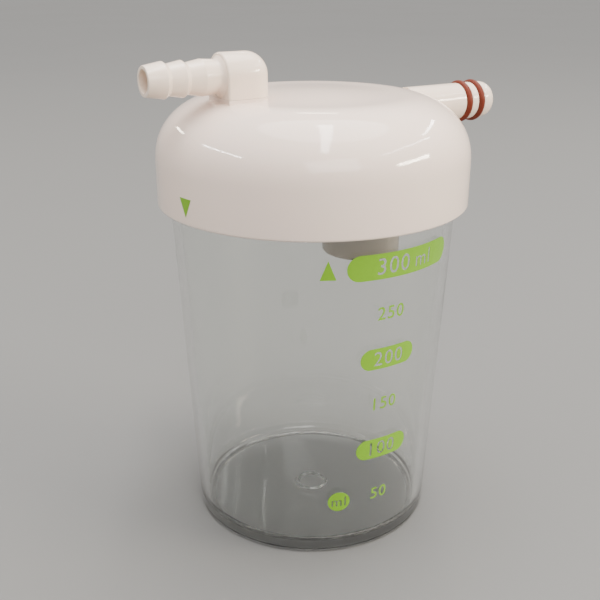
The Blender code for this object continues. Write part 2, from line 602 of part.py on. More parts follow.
def make_elbow(cream_plastic, red_rubber):
    foot = (0, -ELBOW_OFFSET, ELBOW_FOOT_Z)
    axis = (0, -ELBOW_OFFSET, BARB_Z)
    forward = Matrix.Rotation(math.radians(90), 4, "X")
    elbow = object_from("elbow_connector", elbow_housing(), foot)
    combine(elbow, turned("barb", barb_outline(), axis, forward, SMALL_STEPS), "UNION")
    combine(elbow, turned("stem", stem_outline(), foot, AXIS_Z, SMALL_STEPS), "UNION")
    reach = ELBOW_FACE_REACH + BARB_LENGTH + CUT_OVERRUN
    combine(elbow, rod("barb_bore", BARB_BORE_RADIUS, -FIT_GAP, reach, axis, forward), "DIFFERENCE")
    depth = STEM_DEPTH + CUT_OVERRUN
    rise = ELBOW_AXIS_HEIGHT + BARB_BORE_RADIUS * 0.5
    combine(elbow, rod("stem_bore", STEM_BORE_RADIUS, -depth, rise, foot), "DIFFERENCE")
    finish(elbow, cream_plastic)
    height = ELBOW_FOOT_Z - STEM_GROOVE_DEPTH - STEM_GROOVE_WIDTH / 2
    centre_radius = STEM_RADIUS + FIT_GAP - RUNNING_GAP - STEM_RING_SECTION
    seal = ring("elbow_o_ring", centre_radius, STEM_RING_SECTION, (0, -ELBOW_OFFSET, height))
    finish(seal, red_rubber)
    attach(seal, elbow)
    return elbow


def main():
    clear_scene()
    clear_plastic = material("jar_clear", (0.86, 0.88, 0.87), 0.05, alpha=0.35, transmission=0.9)
    white_plastic = material("lid_white", (0.80, 0.79, 0.77), 0.18)
    cream_plastic = material("port_cream", (0.82, 0.78, 0.71), 0.30)
    silicone = material("seal_silicone", (0.55, 0.53, 0.49), 0.55)
    red_rubber = material("ring_red", (0.36, 0.09, 0.05), 0.50)
    jar = make_jar(clear_plastic)
    gasket = make_lid_gasket(silicone)
    lid = make_lid_shell(white_plastic)
    outlet = make_outlet(cream_plastic, red_rubber)
    seat = make_valve_seat(white_plastic)
    cage = make_float_cage(cream_plastic)
    cup = make_float(cream_plastic, silicone)
    elbow = make_elbow(cream_plastic, red_rubber)
    bpy.context.view_layer.update()
    attach(gasket, jar)
    attach(lid, gasket)
    for piece in (*outlet, seat, cage, cup, elbow):
        attach(piece, lid)


if __name__ == "__main__":
    main()
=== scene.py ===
"""A suction collection jar with a domed push-on lid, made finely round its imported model.

Metres, +Z up. The inlet barb points towards -Y and the docking outlet towards +Y.
"""

import math

import bmesh
import bpy
from mathutils import Matrix, Vector


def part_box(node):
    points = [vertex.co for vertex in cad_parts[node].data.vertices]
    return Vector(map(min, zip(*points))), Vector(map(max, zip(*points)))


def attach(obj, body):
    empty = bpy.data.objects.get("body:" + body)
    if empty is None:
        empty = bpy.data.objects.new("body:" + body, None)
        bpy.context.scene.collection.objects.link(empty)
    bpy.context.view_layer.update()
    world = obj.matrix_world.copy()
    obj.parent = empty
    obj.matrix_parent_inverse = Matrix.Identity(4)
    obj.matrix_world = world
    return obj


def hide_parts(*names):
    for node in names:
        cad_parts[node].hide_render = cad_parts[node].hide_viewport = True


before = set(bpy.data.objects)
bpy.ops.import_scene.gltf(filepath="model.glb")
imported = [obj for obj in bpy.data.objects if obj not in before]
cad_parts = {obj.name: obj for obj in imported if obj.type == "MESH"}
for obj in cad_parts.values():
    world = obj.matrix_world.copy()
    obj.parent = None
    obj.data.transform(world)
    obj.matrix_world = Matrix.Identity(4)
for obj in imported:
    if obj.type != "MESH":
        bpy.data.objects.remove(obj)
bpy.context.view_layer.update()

bl_info = {
    "name": "Suction Collection Jar",
    "version": (1, 0, 0),
    "blender": (4, 5, 0),
    "location": "View3D > Sidebar > Jar",
    "description": "Makes a graduated suction jar, its lid, its ports and its float valve",
    "category": "Object",
}

# The gap between parts that fit together, and how far a cutter reaches past what it cuts.
FIT_GAP = 0.0003
PAST = 0.002

# Points nearer than these are one, on a turned shape and on a flat outline.
TINY = 1e-7
WELD = 1e-6

UNTURNED = Matrix.Identity(4)
ALONG_Y = Matrix.Rotation(math.radians(-90), 4, "X")
ALONG_MINUS_Y = Matrix.Rotation(math.radians(90), 4, "X")

JAR_LOW, JAR_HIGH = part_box("jar")
LID_LOW, LID_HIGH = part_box("lid_shell")
GASKET_LOW, GASKET_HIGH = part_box("lid_gasket")
ELBOW_LOW, ELBOW_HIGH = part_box("elbow_connector")
OUTLET_LOW, OUTLET_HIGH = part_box("outlet_spigot")
CAGE_LOW, CAGE_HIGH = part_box("float_cage")
FLOAT_LOW, FLOAT_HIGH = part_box("float")
PAD_LOW, PAD_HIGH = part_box("float_seal")
SEAT_LOW, SEAT_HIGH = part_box("valve_seat")


# Properties


def length(name, description, default):
    """A size in metres."""
    return bpy.props.FloatProperty(
        name=name, description=description, default=default, min=0.0, precision=5, unit="LENGTH"
    )


def turn(name, description, degrees):
    """An angle, given in degrees."""
    return bpy.props.FloatProperty(
        name=name, description=description, default=math.radians(degrees), unit="ROTATION"
    )


def colour(name, description, default):
    """A linear colour."""
    return bpy.props.FloatVectorProperty(
        name=name, description=description, default=default, min=0.0, max=1.0, size=3, subtype="COLOR"
    )


class JarSizes(bpy.types.PropertyGroup):
    """The clear cup."""

    base_radius: length("Base radius", "Outer radius at the foot", 0.0342)
    top_radius: length("Top radius", "Outer radius of the neck", JAR_HIGH.x)
    taper_height: length("Taper height", "Height at which the side becomes straight", LID_LOW.z)
    rim_height: length("Rim height", "Height of the rim above the foot", JAR_HIGH.z)
    wall: length("Wall", "Thickness of the side", 0.0023)
    floor: length("Floor", "Thickness of the bottom", 0.0022)
    foot_edge: length("Foot edge", "Rounding of the foot's outer edge", 0.0012)
    inner_corner: length("Inner corner", "Rounding between floor and side", 0.0030)
    rim_edge: length("Rim edge", "Rounding of the rim", 0.0008)
    gate_radius: length("Gate ring", "Outer radius of the small ring on the floor", 0.0048)
    gate_rise: length("Gate rise", "Height of the small ring on the floor", 0.0006)


class LidSizes(bpy.types.PropertyGroup):
    """The domed lid and the gasket under it."""

    radius: length("Radius", "Outer radius of the side", LID_HIGH.x)
    rim_height: length("Rim height", "Height of the lower edge", LID_LOW.z)
    side_top: length("Side top", "Height at which the shoulder starts", 0.1045)
    top: length("Top", "Height of the dome at the edge of its flat", 0.1210)
    flat_radius: length("Flat radius", "Radius inside which the dome is almost flat", 0.0240)
    crown: length("Crown", "Rise of the dome's middle", 0.00085)
    wall: length("Wall", "Thickness of the shell", 0.0020)
    rim_edge: length("Rim edge", "Rounding of the lower edge", 0.0006)
    plug_radius: length("Plug radius", "Outer radius of the ring inside the neck", 0.0348)
    plug_wall: length("Plug wall", "Thickness of the ring inside the neck", 0.0022)
    plug_end: length("Plug end", "Height of the lower end of the ring inside the neck", 0.0950)
    lip_radius: length("Lip radius", "Outer radius of the lips that hold the gasket", 0.0363)
    lip: length("Lip", "Thickness of the lips that hold the gasket", 0.0012)
    rib: length("Rib", "Thickness of the ribs that rest on the neck", 0.0016)


class PortSizes(bpy.types.PropertyGroup):
    """The inlet elbow and the docking outlet."""

    elbow_offset: length("Elbow offset", "Distance of the elbow from the middle", 0.0204)
    elbow_foot: length("Elbow foot", "Height of the elbow's flat foot", ELBOW_HIGH.z - 0.01115)
    elbow_half_width: length("Elbow half width", "Half the elbow's width", 0.00585)
    elbow_reach: length("Elbow reach", "From the elbow's axis to its flat face", 0.0074)
    elbow_axis: length("Barb height", "Height of the barb's axis above the foot", 0.0053)
    stem_radius: length("Stem radius", "Radius of the stem that turns in the lid", 0.0042)
    barb_crest: length("Barb crest", "Radius of the barbs", 0.00455)
    barb_neck: length("Barb neck", "Radius between the barbs", 0.00383)
    barb_pitch: length("Barb pitch", "Distance from barb to barb", 0.0050)
    barb_step: length("Barb step", "Length over which a barb falls back to the neck", 0.0011)
    barb_tip: length("Barb tip", "Outer radius of the barb's open end", 0.00375)
    barb_tip_length: length("Barb tip length", "From the first barb's crest to the open end", 0.00485)
    barb_bore: length("Barb bore", "Radius of the barb's passage", 0.0029)
    stem_bore: length("Stem bore", "Radius of the stem's passage", 0.0025)
    outlet_radius: length("Outlet radius", "Outer radius of the docking tube", 0.0053)
    outlet_height: length("Outlet height", "Height of the docking tube's axis", 0.1151)
    outlet_bore: length("Outlet bore", "Radius of the docking tube's passage", 0.0026)
    outlet_tail: length("Outlet tail", "Radius of the docking tube's thin inner end", 0.0040)
    outlet_step: length("Outlet step", "Distance of the tube's step from the middle", 0.0310)
    outlet_boss: length("Outlet boss", "Radius of the lid's boss round the docking tube", 0.0070)
    inlet_boss: length("Inlet boss", "Radius of the lid's boss round the elbow's stem", 0.0066)
    inlet_boss_depth: length("Inlet boss depth", "From the elbow's foot to the boss's end", 0.0133)
    ring_section: length("Ring section", "Radius of an O-ring's section", 0.00095)
    ring_stand: length("Ring stand", "How far the O-rings stand out of the tube", 0.0007)


class ValveSizes(bpy.types.PropertyGroup):
    """The float valve under the lid."""

    offset: length("Valve offset", "Distance of the valve from the middle", 0.0167)
    socket_radius: length("Socket radius", "Outer radius of the lid's socket", 0.00945)
    socket_wall: length("Socket wall", "Thickness of the lid's socket", 0.0018)
    socket_end: length("Socket end", "Height of the socket's lower end", 0.0970)
    cage_radius: length("Cage radius", "Outer radius of the cage", 0.01135)
    cage_wall: length("Cage wall", "Thickness of the cage", 0.0016)
    cage_hole: length("Cage hole", "Radius of the hole in the cage's floor", 0.0035)
    window_width: length("Window width", "Width of the cage's windows", 0.0090)
    window_height: length("Window height", "Height of the cage's windows", 0.0095)
    window_rise: length("Window rise", "From the cage's lower end to its windows", 0.0075)
    float_radius: length("Float radius", "Outer radius of the float", 0.0091)
    float_wall: length("Float wall", "Thickness of the float", 0.0012)
    float_height: length("Float height", "Height of the float's cup", 0.0085)
    seat_hole: length("Seat hole", "Radius of the hole that the float closes", 0.0030)
    seat_face: length("Seat face", "Height of the lower side of the seat's plate", 0.0950)


class PrintSizes(bpy.types.PropertyGroup):
    """The printed scale and the two closing marks."""

    column: turn("Column", "Direction of the column of numbers", 90.0)
    number_height: length("Number height", "Height of the plain numbers", 0.0036)
    label_height: length("Label height", "Height of the rounded labels", 0.0060)
    label_number: length("Label number", "Height of the numbers in the labels", 0.0040)
    label_column: turn("Label column", "Direction of the middle of the rounded labels", 90.4)
    label_turn: turn("Label turn", "Angle that the rounded labels span", 25.6)
    full_level: length("Full level", "Height of the full cup's label", 0.0842)
    full_start: turn("Full start", "Direction at which the full cup's label starts", 70.8)
    full_end: turn("Full end", "Direction at which the full cup's label ends", 121.0)
    full_height: length("Full height", "Height across the full cup's label", 0.0068)
    full_number: length("Full number", "Height of the number in the full cup's label", 0.0044)
    unit_height: length("Unit height", "Height of the unit in the full cup's label", 0.0040)
    unit_offset: length("Unit offset", "From the number to the unit beside it", 0.0098)
    disc_column: turn("Disc column", "Direction of the unit's disc", 70.6)
    disc_level: length("Disc level", "Height of the unit's disc", 0.0165)
    disc_number: length("Disc letters", "Height of the letters in the unit's disc", 0.0029)
    cup_arrow: turn("Cup arrow", "Direction of the closing mark on the cup", 63.9)
    lid_arrow: turn("Lid arrow", "Direction of the closing mark on the lid", 10.8)
    ink: length("Ink", "Thickness of the print", 0.00004)


class Colours(bpy.types.PropertyGroup):
    """The colours of the finishes."""

    clear: colour("Clear plastic", "Tint of the jar", (0.955, 0.968, 0.955))
    white: colour("White plastic", "Colour of the lid", (0.93, 0.765, 0.67))
    # The cage's colour is the cream plastic darkened: painted shade for the shadow under the lid.
    cage: colour("Cage plastic", "Colour of the float's cage, darkened as painted shade under the lid", (0.50, 0.43, 0.35))
    cream: colour("Cream plastic", "Colour of the ports and of the valve", (0.94, 0.775, 0.65))
    red: colour("Red rubber", "Colour of the O-rings", (0.155, 0.026, 0.012))
    silicone: colour("Silicone", "Colour of the gasket and of the float's pad", (0.60, 0.58, 0.54))
    green: colour("Green ink", "Colour of the print", (0.19, 0.43, 0.006))
    floor: colour("Floor", "Colour of the pale floor", (0.165, 0.165, 0.163))


class JarSettings(bpy.types.PropertyGroup):
    """All the sizes and colours."""

    jar: bpy.props.PointerProperty(type=JarSizes, name="Jar", description="The clear cup")
    lid: bpy.props.PointerProperty(type=LidSizes, name="Lid", description="The lid and its gasket")
    ports: bpy.props.PointerProperty(type=PortSizes, name="Ports", description="Inlet and outlet")
    valve: bpy.props.PointerProperty(type=ValveSizes, name="Valve", description="The float valve")
    marks: bpy.props.PointerProperty(type=PrintSizes, name="Print", description="The printed scale")
    colours: bpy.props.PointerProperty(type=Colours, name="Colours", description="The finishes")


# Finishes


class Signal:
    """A number in a finish. Arithmetic on it adds Math nodes."""

    def __init__(self, graph, socket):
        self.graph = graph
        self.socket = socket

    def maths(self, operation, first, second):
        return self.graph.add("ShaderNodeMath", {"operation": operation}, {0: first, 1: second})

    def __add__(self, other):
        return self.maths("ADD", self, other)

    def __mul__(self, other):
        return self.maths("MULTIPLY", self, other)

    def __lt__(self, other):
        return self.maths("LESS_THAN", self, other)

    __radd__ = __add__
    __rmul__ = __mul__


class Graph:
    """The node tree of one material or world, which ends in its own shader."""

    def __init__(self, owner, shader="Principled BSDF"):
        owner.use_nodes = True
        self.owner = owner
        self.tree = owner.node_tree
        self.shader = self.tree.nodes[shader]

    def feed(self, node, sockets):
        for key, value in sockets.items():
            if isinstance(value, Signal):
                self.tree.links.new(value.socket, node.inputs[key])
            else:
                node.inputs[key].default_value = value

    def add(self, kind, settings=None, sockets=None, output=0):
        """A node with its settings made first, then the values and links of its sockets."""
        node = self.tree.nodes.new(kind)
        for key, value in (settings or {}).items():
            if key == "stops":
                self.set_stops(node.color_ramp, value)
            else:
                setattr(node, key, value)
        self.feed(node, sockets or {})
        return Signal(self, node.outputs[output])

    @staticmethod
    def set_stops(ramp, stops):
        while len(ramp.elements) < len(stops):
            ramp.elements.new(0.5)
        for element, (position, shade) in zip(ramp.elements, stops):
            element.position = position
            element.color = (*shade, 1.0)

    def spot(self, stretch=(1.0, 1.0, 1.0)):
        """The place on the piece, in metres, stretched along the axes."""
        place = self.add("ShaderNodeTexCoord", output="Object")
        return self.add("ShaderNodeMapping", {}, {"Vector": place, "Scale": stretch})

    def noise(self, scale, detail=3.0, rough=0.5, stretch=(1.0, 1.0, 1.0)):
        """Cloudy variation from 0 to 1, with the scale in lumps to the metre."""
        values = {"Vector": self.spot(stretch), "Scale": scale, "Detail": detail, "Roughness": rough}
        return self.add("ShaderNodeTexNoise", {}, values)

    def ramp(self, value, low, high):
        """The value spread out to reach 0 at low and 1 at high."""
        stops = [(low, (0.0, 0.0, 0.0)), (high, (1.0, 1.0, 1.0))]
        return self.add("ShaderNodeValToRGB", {"stops": stops}, {"Fac": value})

    def blend(self, factor, first, second):
        """A colour between two, both given as red, green and blue."""
        sockets = {0: factor, 6: (*first, 1.0), 7: (*second, 1.0)}
        return self.add("ShaderNodeMix", {"data_type": "RGBA"}, sockets, output=2)

    def bump(self, height, strength, distance):
        sockets = {"Height": height, "Strength": strength, "Distance": distance}
        return self.add("ShaderNodeBump", {}, sockets)

    def finish(self, sockets):
        self.feed(self.shader, sockets)
        return self.owner


def finish_graph(name):
    return Graph(bpy.data.materials.new(name))


def shade_of(base, factor):
    return tuple(part * factor for part in base)


UNDERSIDE_DEPTH = 0.00006
UNDERSIDE_RADIUS = 0.0305


def clear_plastic(name, base):
    """Polished clear plastic with faint flow waves, a few rubbed places and a matt underside."""
    graph = finish_graph(name)
    waves = graph.noise(55.0, 1.0, 0.4, (1.0, 1.0, 0.35))
    rubs = graph.ramp(graph.noise(90.0, 5.0, 0.6), 0.55, 0.80)
    height = graph.add("ShaderNodeSeparateXYZ", {}, {"Vector": graph.spot()}, output=2)
    underside = height < UNDERSIDE_DEPTH
    distance = graph.add("ShaderNodeVectorMath", {"operation": "LENGTH"}, {0: graph.spot()}, output=1)
    middle = distance < UNDERSIDE_RADIUS
    return graph.finish(
        {
            "Base Color": graph.blend(waves, base, shade_of(base, 0.985)),
            "Roughness": 0.012 + rubs * 0.04 + underside * (0.20 + middle * 0.13),
            "Normal": graph.bump(waves, 0.10, 0.0006),
            "IOR": 1.58,
            "Transmission Weight": 1.0,
        }
    )


def moulded_plastic(name, base, gloss, glow):
    """Glossy moulded plastic: faint tone, fingermarks in the gloss and a fine mould grain."""
    graph = finish_graph(name)
    tone = graph.noise(28.0, 3.0, 0.5)
    marks = graph.ramp(graph.noise(110.0, 6.0, 0.65), 0.45, 0.78)
    grain = graph.noise(2600.0, 2.0, 0.5)
    sink = graph.noise(45.0, 1.0, 0.3)
    return graph.finish(
        {
            "Base Color": graph.blend(tone, shade_of(base, 1.015), shade_of(base, 0.97)),
            "Roughness": gloss + tone * 0.02 + marks * 0.06,
            "Normal": graph.bump(grain * 0.02 + sink, 0.04, 0.0004),
            "IOR": 1.49,
            "Subsurface Weight": glow,
            "Subsurface Radius": (1.0, 0.9, 0.8),
            "Subsurface Scale": 0.0012,
        }
    )


def soft_rubber(name, base, gloss, dust):
    """Rubber with a dusty bloom and a fine pitted skin."""
    graph = finish_graph(name)
    bloom = graph.ramp(graph.noise(420.0, 6.0, 0.6), 0.42, 0.75)
    pits = graph.noise(3200.0, 3.0, 0.6)
    return graph.finish(
        {
            "Base Color": graph.blend(bloom, shade_of(base, 0.92), dust),
            "Roughness": gloss + bloom * 0.18,
            "Normal": graph.bump(pits, 0.25, 0.00008),
            "IOR": 1.46,
            "Specular IOR Level": 0.22,
        }
    )


def printing_ink(name, base):
    """Screen-printed ink, a little uneven and worn thin in small specks."""
    graph = finish_graph(name)
    cover = graph.noise(700.0, 4.0, 0.6)
    specks = graph.ramp(graph.noise(2400.0, 3.0, 0.5), 0.66, 0.78)
    return graph.finish(
        {
            "Base Color": graph.blend(cover, shade_of(base, 1.06), shade_of(base, 0.90)),
            "Roughness": 0.30 + cover * 0.12 + specks * 0.20,
            "Normal": graph.bump(cover, 0.15, 0.00004),
        }
    )


def floor_paper(name, base):
    """Matt paper with soft clouds and a fine fibre."""
    graph = finish_graph(name)
    cloud = graph.noise(3.0, 4.0, 0.5)
    fibre = graph.noise(900.0, 4.0, 0.6)
    return graph.finish(
        {
            "Base Color": graph.blend(cloud, base, shade_of(base, 0.96)),
            "Roughness": 0.62 + cloud * 0.12,
            "Normal": graph.bump(fibre, 0.06, 0.0004),
        }
    )


SILICONE_DUST = (0.68, 0.66, 0.62)
RED_DUST = (0.17, 0.036, 0.020)


# For each material slot: what makes its finish, the finish's name and colour, and the maker's values.
FINISHES = {
    "jar_clear": (clear_plastic, "Clear plastic", "clear"),
    "lid_white": (moulded_plastic, "White plastic", "white", 0.055, 0.10),
    "port_cream": (moulded_plastic, "Cream plastic", "cream", 0.14, 0.20),
    # The cage's finish is a darker copy of the cream plastic: painted shade for the shadow under the lid.
    "cage_painted_shade": (moulded_plastic, "Cage plastic", "cage", 0.20, 0.05),
    "seal_silicone": (soft_rubber, "Silicone", "silicone", 0.42, SILICONE_DUST),
    "ring_red": (soft_rubber, "Red rubber", "red", 0.40, RED_DUST),
    "scale_print": (printing_ink, "Green ink", "green"),
    "floor": (floor_paper, "Floor paper", "floor"),
}


def finish_named(slot, context):
    """The finish of a material slot, made once."""
    maker, name, shade, *values = FINISHES[slot]
    base = getattr(context.scene.suction_jar.colours, shade)
    return bpy.data.materials.get(name) or maker(name, base, *values)


# Shapes


# How far moulded edges are rounded, from a plain edge to the crease of a groove.
EDGE, FINE_EDGE, CREASE = 0.0003, 0.0002, 0.0001


def rounded(points, steps=4, closed=False):
    """An outline whose corners are rounded. A point is (radius, height) or (radius, height, rounding)."""
    outline = []
    last = len(points) - 1
    for index, point in enumerate(points):
        corner = Vector(point[:2])
        if len(point) < 3 or (index in (0, last) and not closed):
            outline.append(tuple(corner))
            continue
        before = (Vector(points[index - 1][:2]) - corner).normalized()
        after = (Vector(points[(index + 1) % len(points)][:2]) - corner).normalized()
        half = before.angle(after) / 2
        centre = corner + (before + after).normalized() * point[2] / math.sin(half)
        start = corner + before * point[2] / math.tan(half) - centre
        end = corner + after * point[2] / math.tan(half) - centre
        for step in range(steps + 1):
            outline.append(tuple(centre + start.lerp(end, step / steps).normalized() * point[2]))
    return outline


def spun(outline, steps, closed=False, angle=math.tau):
    """A mesh turned round Z from an outline of (radius, height)."""
    bm = bmesh.new()
    points = [bm.verts.new((radius, 0, height)) for radius, height in outline]
    edges = [bm.edges.new(pair) for pair in zip(points, points[1:])]
    if closed:
        edges.append(bm.edges.new((points[-1], points[0])))
    full = angle >= math.tau
    bmesh.ops.spin(
        bm, geom=points + edges, cent=(0, 0, 0), axis=(0, 0, 1), dvec=(0, 0, 0),
        angle=angle, steps=steps, use_merge=full, use_normal_flip=False, use_duplicate=False,
    )
    return bm


def verts_of(geometry):
    return [item for item in geometry if isinstance(item, bmesh.types.BMVert)]


def made_object(name, bm, place=(0, 0, 0), direction=UNTURNED):
    """An object at the origin, with its place in its mesh."""
    bmesh.ops.remove_doubles(bm, verts=bm.verts, dist=TINY)
    bmesh.ops.recalc_face_normals(bm, faces=bm.faces)
    bmesh.ops.transform(bm, matrix=Matrix.Translation(Vector(place)) @ direction, verts=bm.verts)
    mesh = bpy.data.meshes.new(name)
    bm.to_mesh(mesh)
    bm.free()
    made = bpy.data.objects.new(name, mesh)
    bpy.context.scene.collection.objects.link(made)
    return smoothed(made)


def smoothed(obj, degrees=32):
    obj.data.shade_smooth()
    obj.data.set_sharp_from_angle(angle=math.radians(degrees))
    return obj


def turned(name, outline, steps=96, closed=False, place=(0, 0, 0), direction=UNTURNED):
    return made_object(name, spun(outline, steps, closed), place, direction)


def rod(name, radius, low, high, steps=96, place=(0, 0, 0), direction=UNTURNED):
    outline = [(0, low), (radius, low), (radius, high), (0, high)]
    return turned(name, outline, steps, False, place, direction)


def combined(obj, steps):
    """The object after Booleans with other solids, which are then removed."""
    for operation, other in steps:
        step = obj.modifiers.new(other.name, "BOOLEAN")
        step.operation = operation
        step.solver = "EXACT"
        step.object = other
    bpy.context.view_layer.update()
    graph = bpy.context.evaluated_depsgraph_get()
    mesh = bpy.data.meshes.new_from_object(obj.evaluated_get(graph))
    obj.modifiers.clear()
    obj.data = mesh
    for operation, other in steps:
        bpy.data.objects.remove(other, do_unlink=True)
    return smoothed(obj)


def settled(piece, body, slot, *nodes):
    """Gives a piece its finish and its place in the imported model."""
    piece.data.materials.clear()
    piece.data.materials.append(finish_named(slot, bpy.context))
    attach(piece, body)
    if nodes:
        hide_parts(*nodes)
    return piece


# The power of the shoulder's curve: 2 would be an ellipse, and more is squarer.
SHOULDER_POWER = 2.1


def lid_height(lid, radius, inset=0.0):
    """Height of the dome at a radius, on its outer surface or a little inside it."""
    if radius <= lid.flat_radius:
        return lid.top - inset + lid.crown * (1 - (radius / lid.flat_radius) ** 2) ** 2
    share = min(1.0, (radius - lid.flat_radius) / (lid.radius - inset - lid.flat_radius))
    rise = lid.top - lid.side_top - inset
    return lid.side_top + rise * (1 - share**SHOULDER_POWER) ** (1 / SHOULDER_POWER)


def dome_points(lid, inset, shoulder_steps=28, flat_steps=10):
    """The dome's surface from the top of the side to the middle."""
    points = []
    width = lid.radius - inset - lid.flat_radius
    rise = lid.top - lid.side_top - inset
    power = 2 / SHOULDER_POWER
    for index in range(shoulder_steps + 1):
        angle = math.pi / 2 * index / shoulder_steps
        across = width * math.cos(angle) ** power if index < shoulder_steps else 0.0
        points.append((lid.flat_radius + across, lid.side_top + rise * math.sin(angle) ** power))
    for index in reversed(range(flat_steps)):
        radius = lid.flat_radius * index / flat_steps
        points.append((radius, lid_height(lid, radius, inset)))
    return points


def jar_radius(jar, height):
    share = min(height / jar.taper_height, 1.0)
    return jar.base_radius + (jar.top_radius - jar.base_radius) * share


# Print


# Half the thickness of the print before it is pressed down to the ink's thickness.
PRINT_DEPTH = 0.0005

LETTER_SPACING = 1.12
LABEL_CORNERS = 56
SLICE_WIDTH = 0.0006


def flat_letters(words, height, depth, weight=0.0):
    """Lettering in the XY plane, centred, as a solid from -depth to depth."""
    curve = bpy.data.curves.new("lettering", "FONT")
    curve.body = words
    curve.extrude = depth
    curve.offset = weight
    curve.resolution_u = 5
    curve.space_character = LETTER_SPACING
    holder = bpy.data.objects.new("lettering", curve)
    bpy.context.scene.collection.objects.link(holder)
    bpy.context.view_layer.update()
    graph = bpy.context.evaluated_depsgraph_get()
    mesh = bpy.data.meshes.new_from_object(holder.evaluated_get(graph))
    bpy.data.objects.remove(holder, do_unlink=True)
    bm = bmesh.new()
    bm.from_mesh(mesh)
    bmesh.ops.remove_doubles(bm, verts=bm.verts, dist=WELD)
    low = Vector([min(vert.co[axis] for vert in bm.verts) for axis in range(3)])
    high = Vector([max(vert.co[axis] for vert in bm.verts) for axis in range(3)])
    size = height / (high.y - low.y)
    middle = (low + high) / 2
    bmesh.ops.translate(bm, vec=(-middle.x, -middle.y, -middle.z), verts=bm.verts)
    bmesh.ops.scale(bm, vec=(size, size, 1.0), verts=bm.verts)
    return bm


def rounded_label(length_across, height):
    """A flat label with round ends, or a disc."""
    bm = bmesh.new()
    half_corner = Matrix.Rotation(math.pi / LABEL_CORNERS, 3, "Z")
    bmesh.ops.create_circle(bm, cap_ends=True, radius=height / 2, segments=LABEL_CORNERS)
    bmesh.ops.rotate(bm, matrix=half_corner, verts=bm.verts)
    spread = (length_across - height) / 2
    right = [vert for vert in bm.verts if vert.co.x > 0]
    left = [vert for vert in bm.verts if vert.co.x < 0]
    bmesh.ops.translate(bm, vec=(spread, 0, 0), verts=right)
    bmesh.ops.translate(bm, vec=(-spread, 0, 0), verts=left)
    return thickened(bm)


def arrow(width, height):
    """A flat arrow head that points up, or down for a negative height."""
    bm = bmesh.new()
    corners = [(-width / 2, -height / 2, 0), (width / 2, -height / 2, 0), (0, height / 2, 0)]
    bm.faces.new([bm.verts.new(corner) for corner in corners])
    return thickened(bm)


def thickened(bm):
    """A flat face made as thick as the print."""
    grown = bmesh.ops.extrude_face_region(bm, geom=bm.faces[:])
    bmesh.ops.translate(bm, vec=(0, 0, 2 * PRINT_DEPTH), verts=verts_of(grown["geom"]))
    bmesh.ops.translate(bm, vec=(0, 0, -PRINT_DEPTH), verts=bm.verts)
    return bm


def wrapped(name, flat, azimuth, middle, radius_at, ink):
    """A flat solid bent round a turned wall. Across the print runs along increasing azimuth."""
    bm = bmesh.new()
    bm.from_mesh(flat.data)
    bpy.data.objects.remove(flat, do_unlink=True)
    slices = int(max(abs(vert.co.x) for vert in bm.verts) / SLICE_WIDTH)
    for index in range(-slices, slices + 1):
        geometry = bm.verts[:] + bm.edges[:] + bm.faces[:]
        cut = (index * SLICE_WIDTH, 0, 0)
        bmesh.ops.bisect_plane(bm, geom=geometry, dist=1e-8, plane_co=cut, plane_no=(1, 0, 0))
    for vert in bm.verts:
        across, up, out = vert.co
        radius = radius_at(middle + up)
        angle = azimuth + across / radius
        radius += ink * (0.75 + 0.5 * out / PRINT_DEPTH)
        vert.co = (radius * math.sin(angle), -radius * math.cos(angle), middle + up)
    return made_object(name, bm)


# Operators


class JarOperator:
    """What the operators share: they add pieces, and they can be undone."""

    bl_options = {"REGISTER", "UNDO"}

    @staticmethod
    def settings(context):
        return context.scene.suction_jar


LID_MIDDLE = 0.11
PLAIN, WARM = (1.0, 0.98, 0.95), (1.0, 0.90, 0.72)

# Each lamp's name, its two ends, its width, its power in watts and its colour.
LAMPS = (
    ("overhead_strip", (0.72, -0.27, 1.11), (-0.28, 0.26, 1.12), 0.09, 7.0, PLAIN),
    ("far_strip", (-1.054, 0.58, 0.976), (-0.971, 0.713, 0.974), 0.05, 0.5, WARM),
    ("left_strip", (-0.543, -0.69, 0.63), (0.044, -0.873, 0.655), 0.022, 2.6, PLAIN),
    ("left_back_strip", (-0.943, -0.182, 0.425), (-0.839, -0.39, 0.523), 0.025, 0.7, WARM),
    ("right_back_strip", (-0.302, 0.824, 0.599), (0.128, 0.795, 0.725), 0.030, 1.3, PLAIN),
    ("right_strip", (0.135, 0.849, 0.649), (0.737, 0.357, 0.73), 0.014, 1.4, PLAIN),
    ("front_window", (1.05, -0.75, 0.75), (1.15, 0.05, 0.75), 0.50, 7.0, PLAIN),
    ("side_window", (0.546, 0.946, 0.46), (0.94, 0.56, 0.46), 0.08, 12.0, WARM),
    ("low_strip", (0.75, -0.50, 0.62), (0.945, 0.27, 0.44), 0.020, 0.4, PLAIN),
)

# The sky's light from the horizon up to straight overhead.
SKY_LEVELS = ((0.0, 0.40), (0.10, 0.24), (0.32, 0.24), (0.60, 1.15), (1.0, 1.30))
SKY_TINT = (1.0, 0.985, 0.965)

SUN_SPREAD = 50.0
SUN_POWER = 3.2
SUN_TINT = (1.0, 0.96, 0.915)
SUN_AIM = (0.10, -0.16, -1.0)

CAMERA_PLACE = (0.2071, -0.1285, 0.1551)
CAMERA_AZIMUTH = 59.0
CAMERA_DOWN = 20.89
CAMERA_LENS = 54.07
CAMERA_SENSOR = 36.0

FLOOR_RADIUS = 9.0
FLOOR_GAP = 0.0002


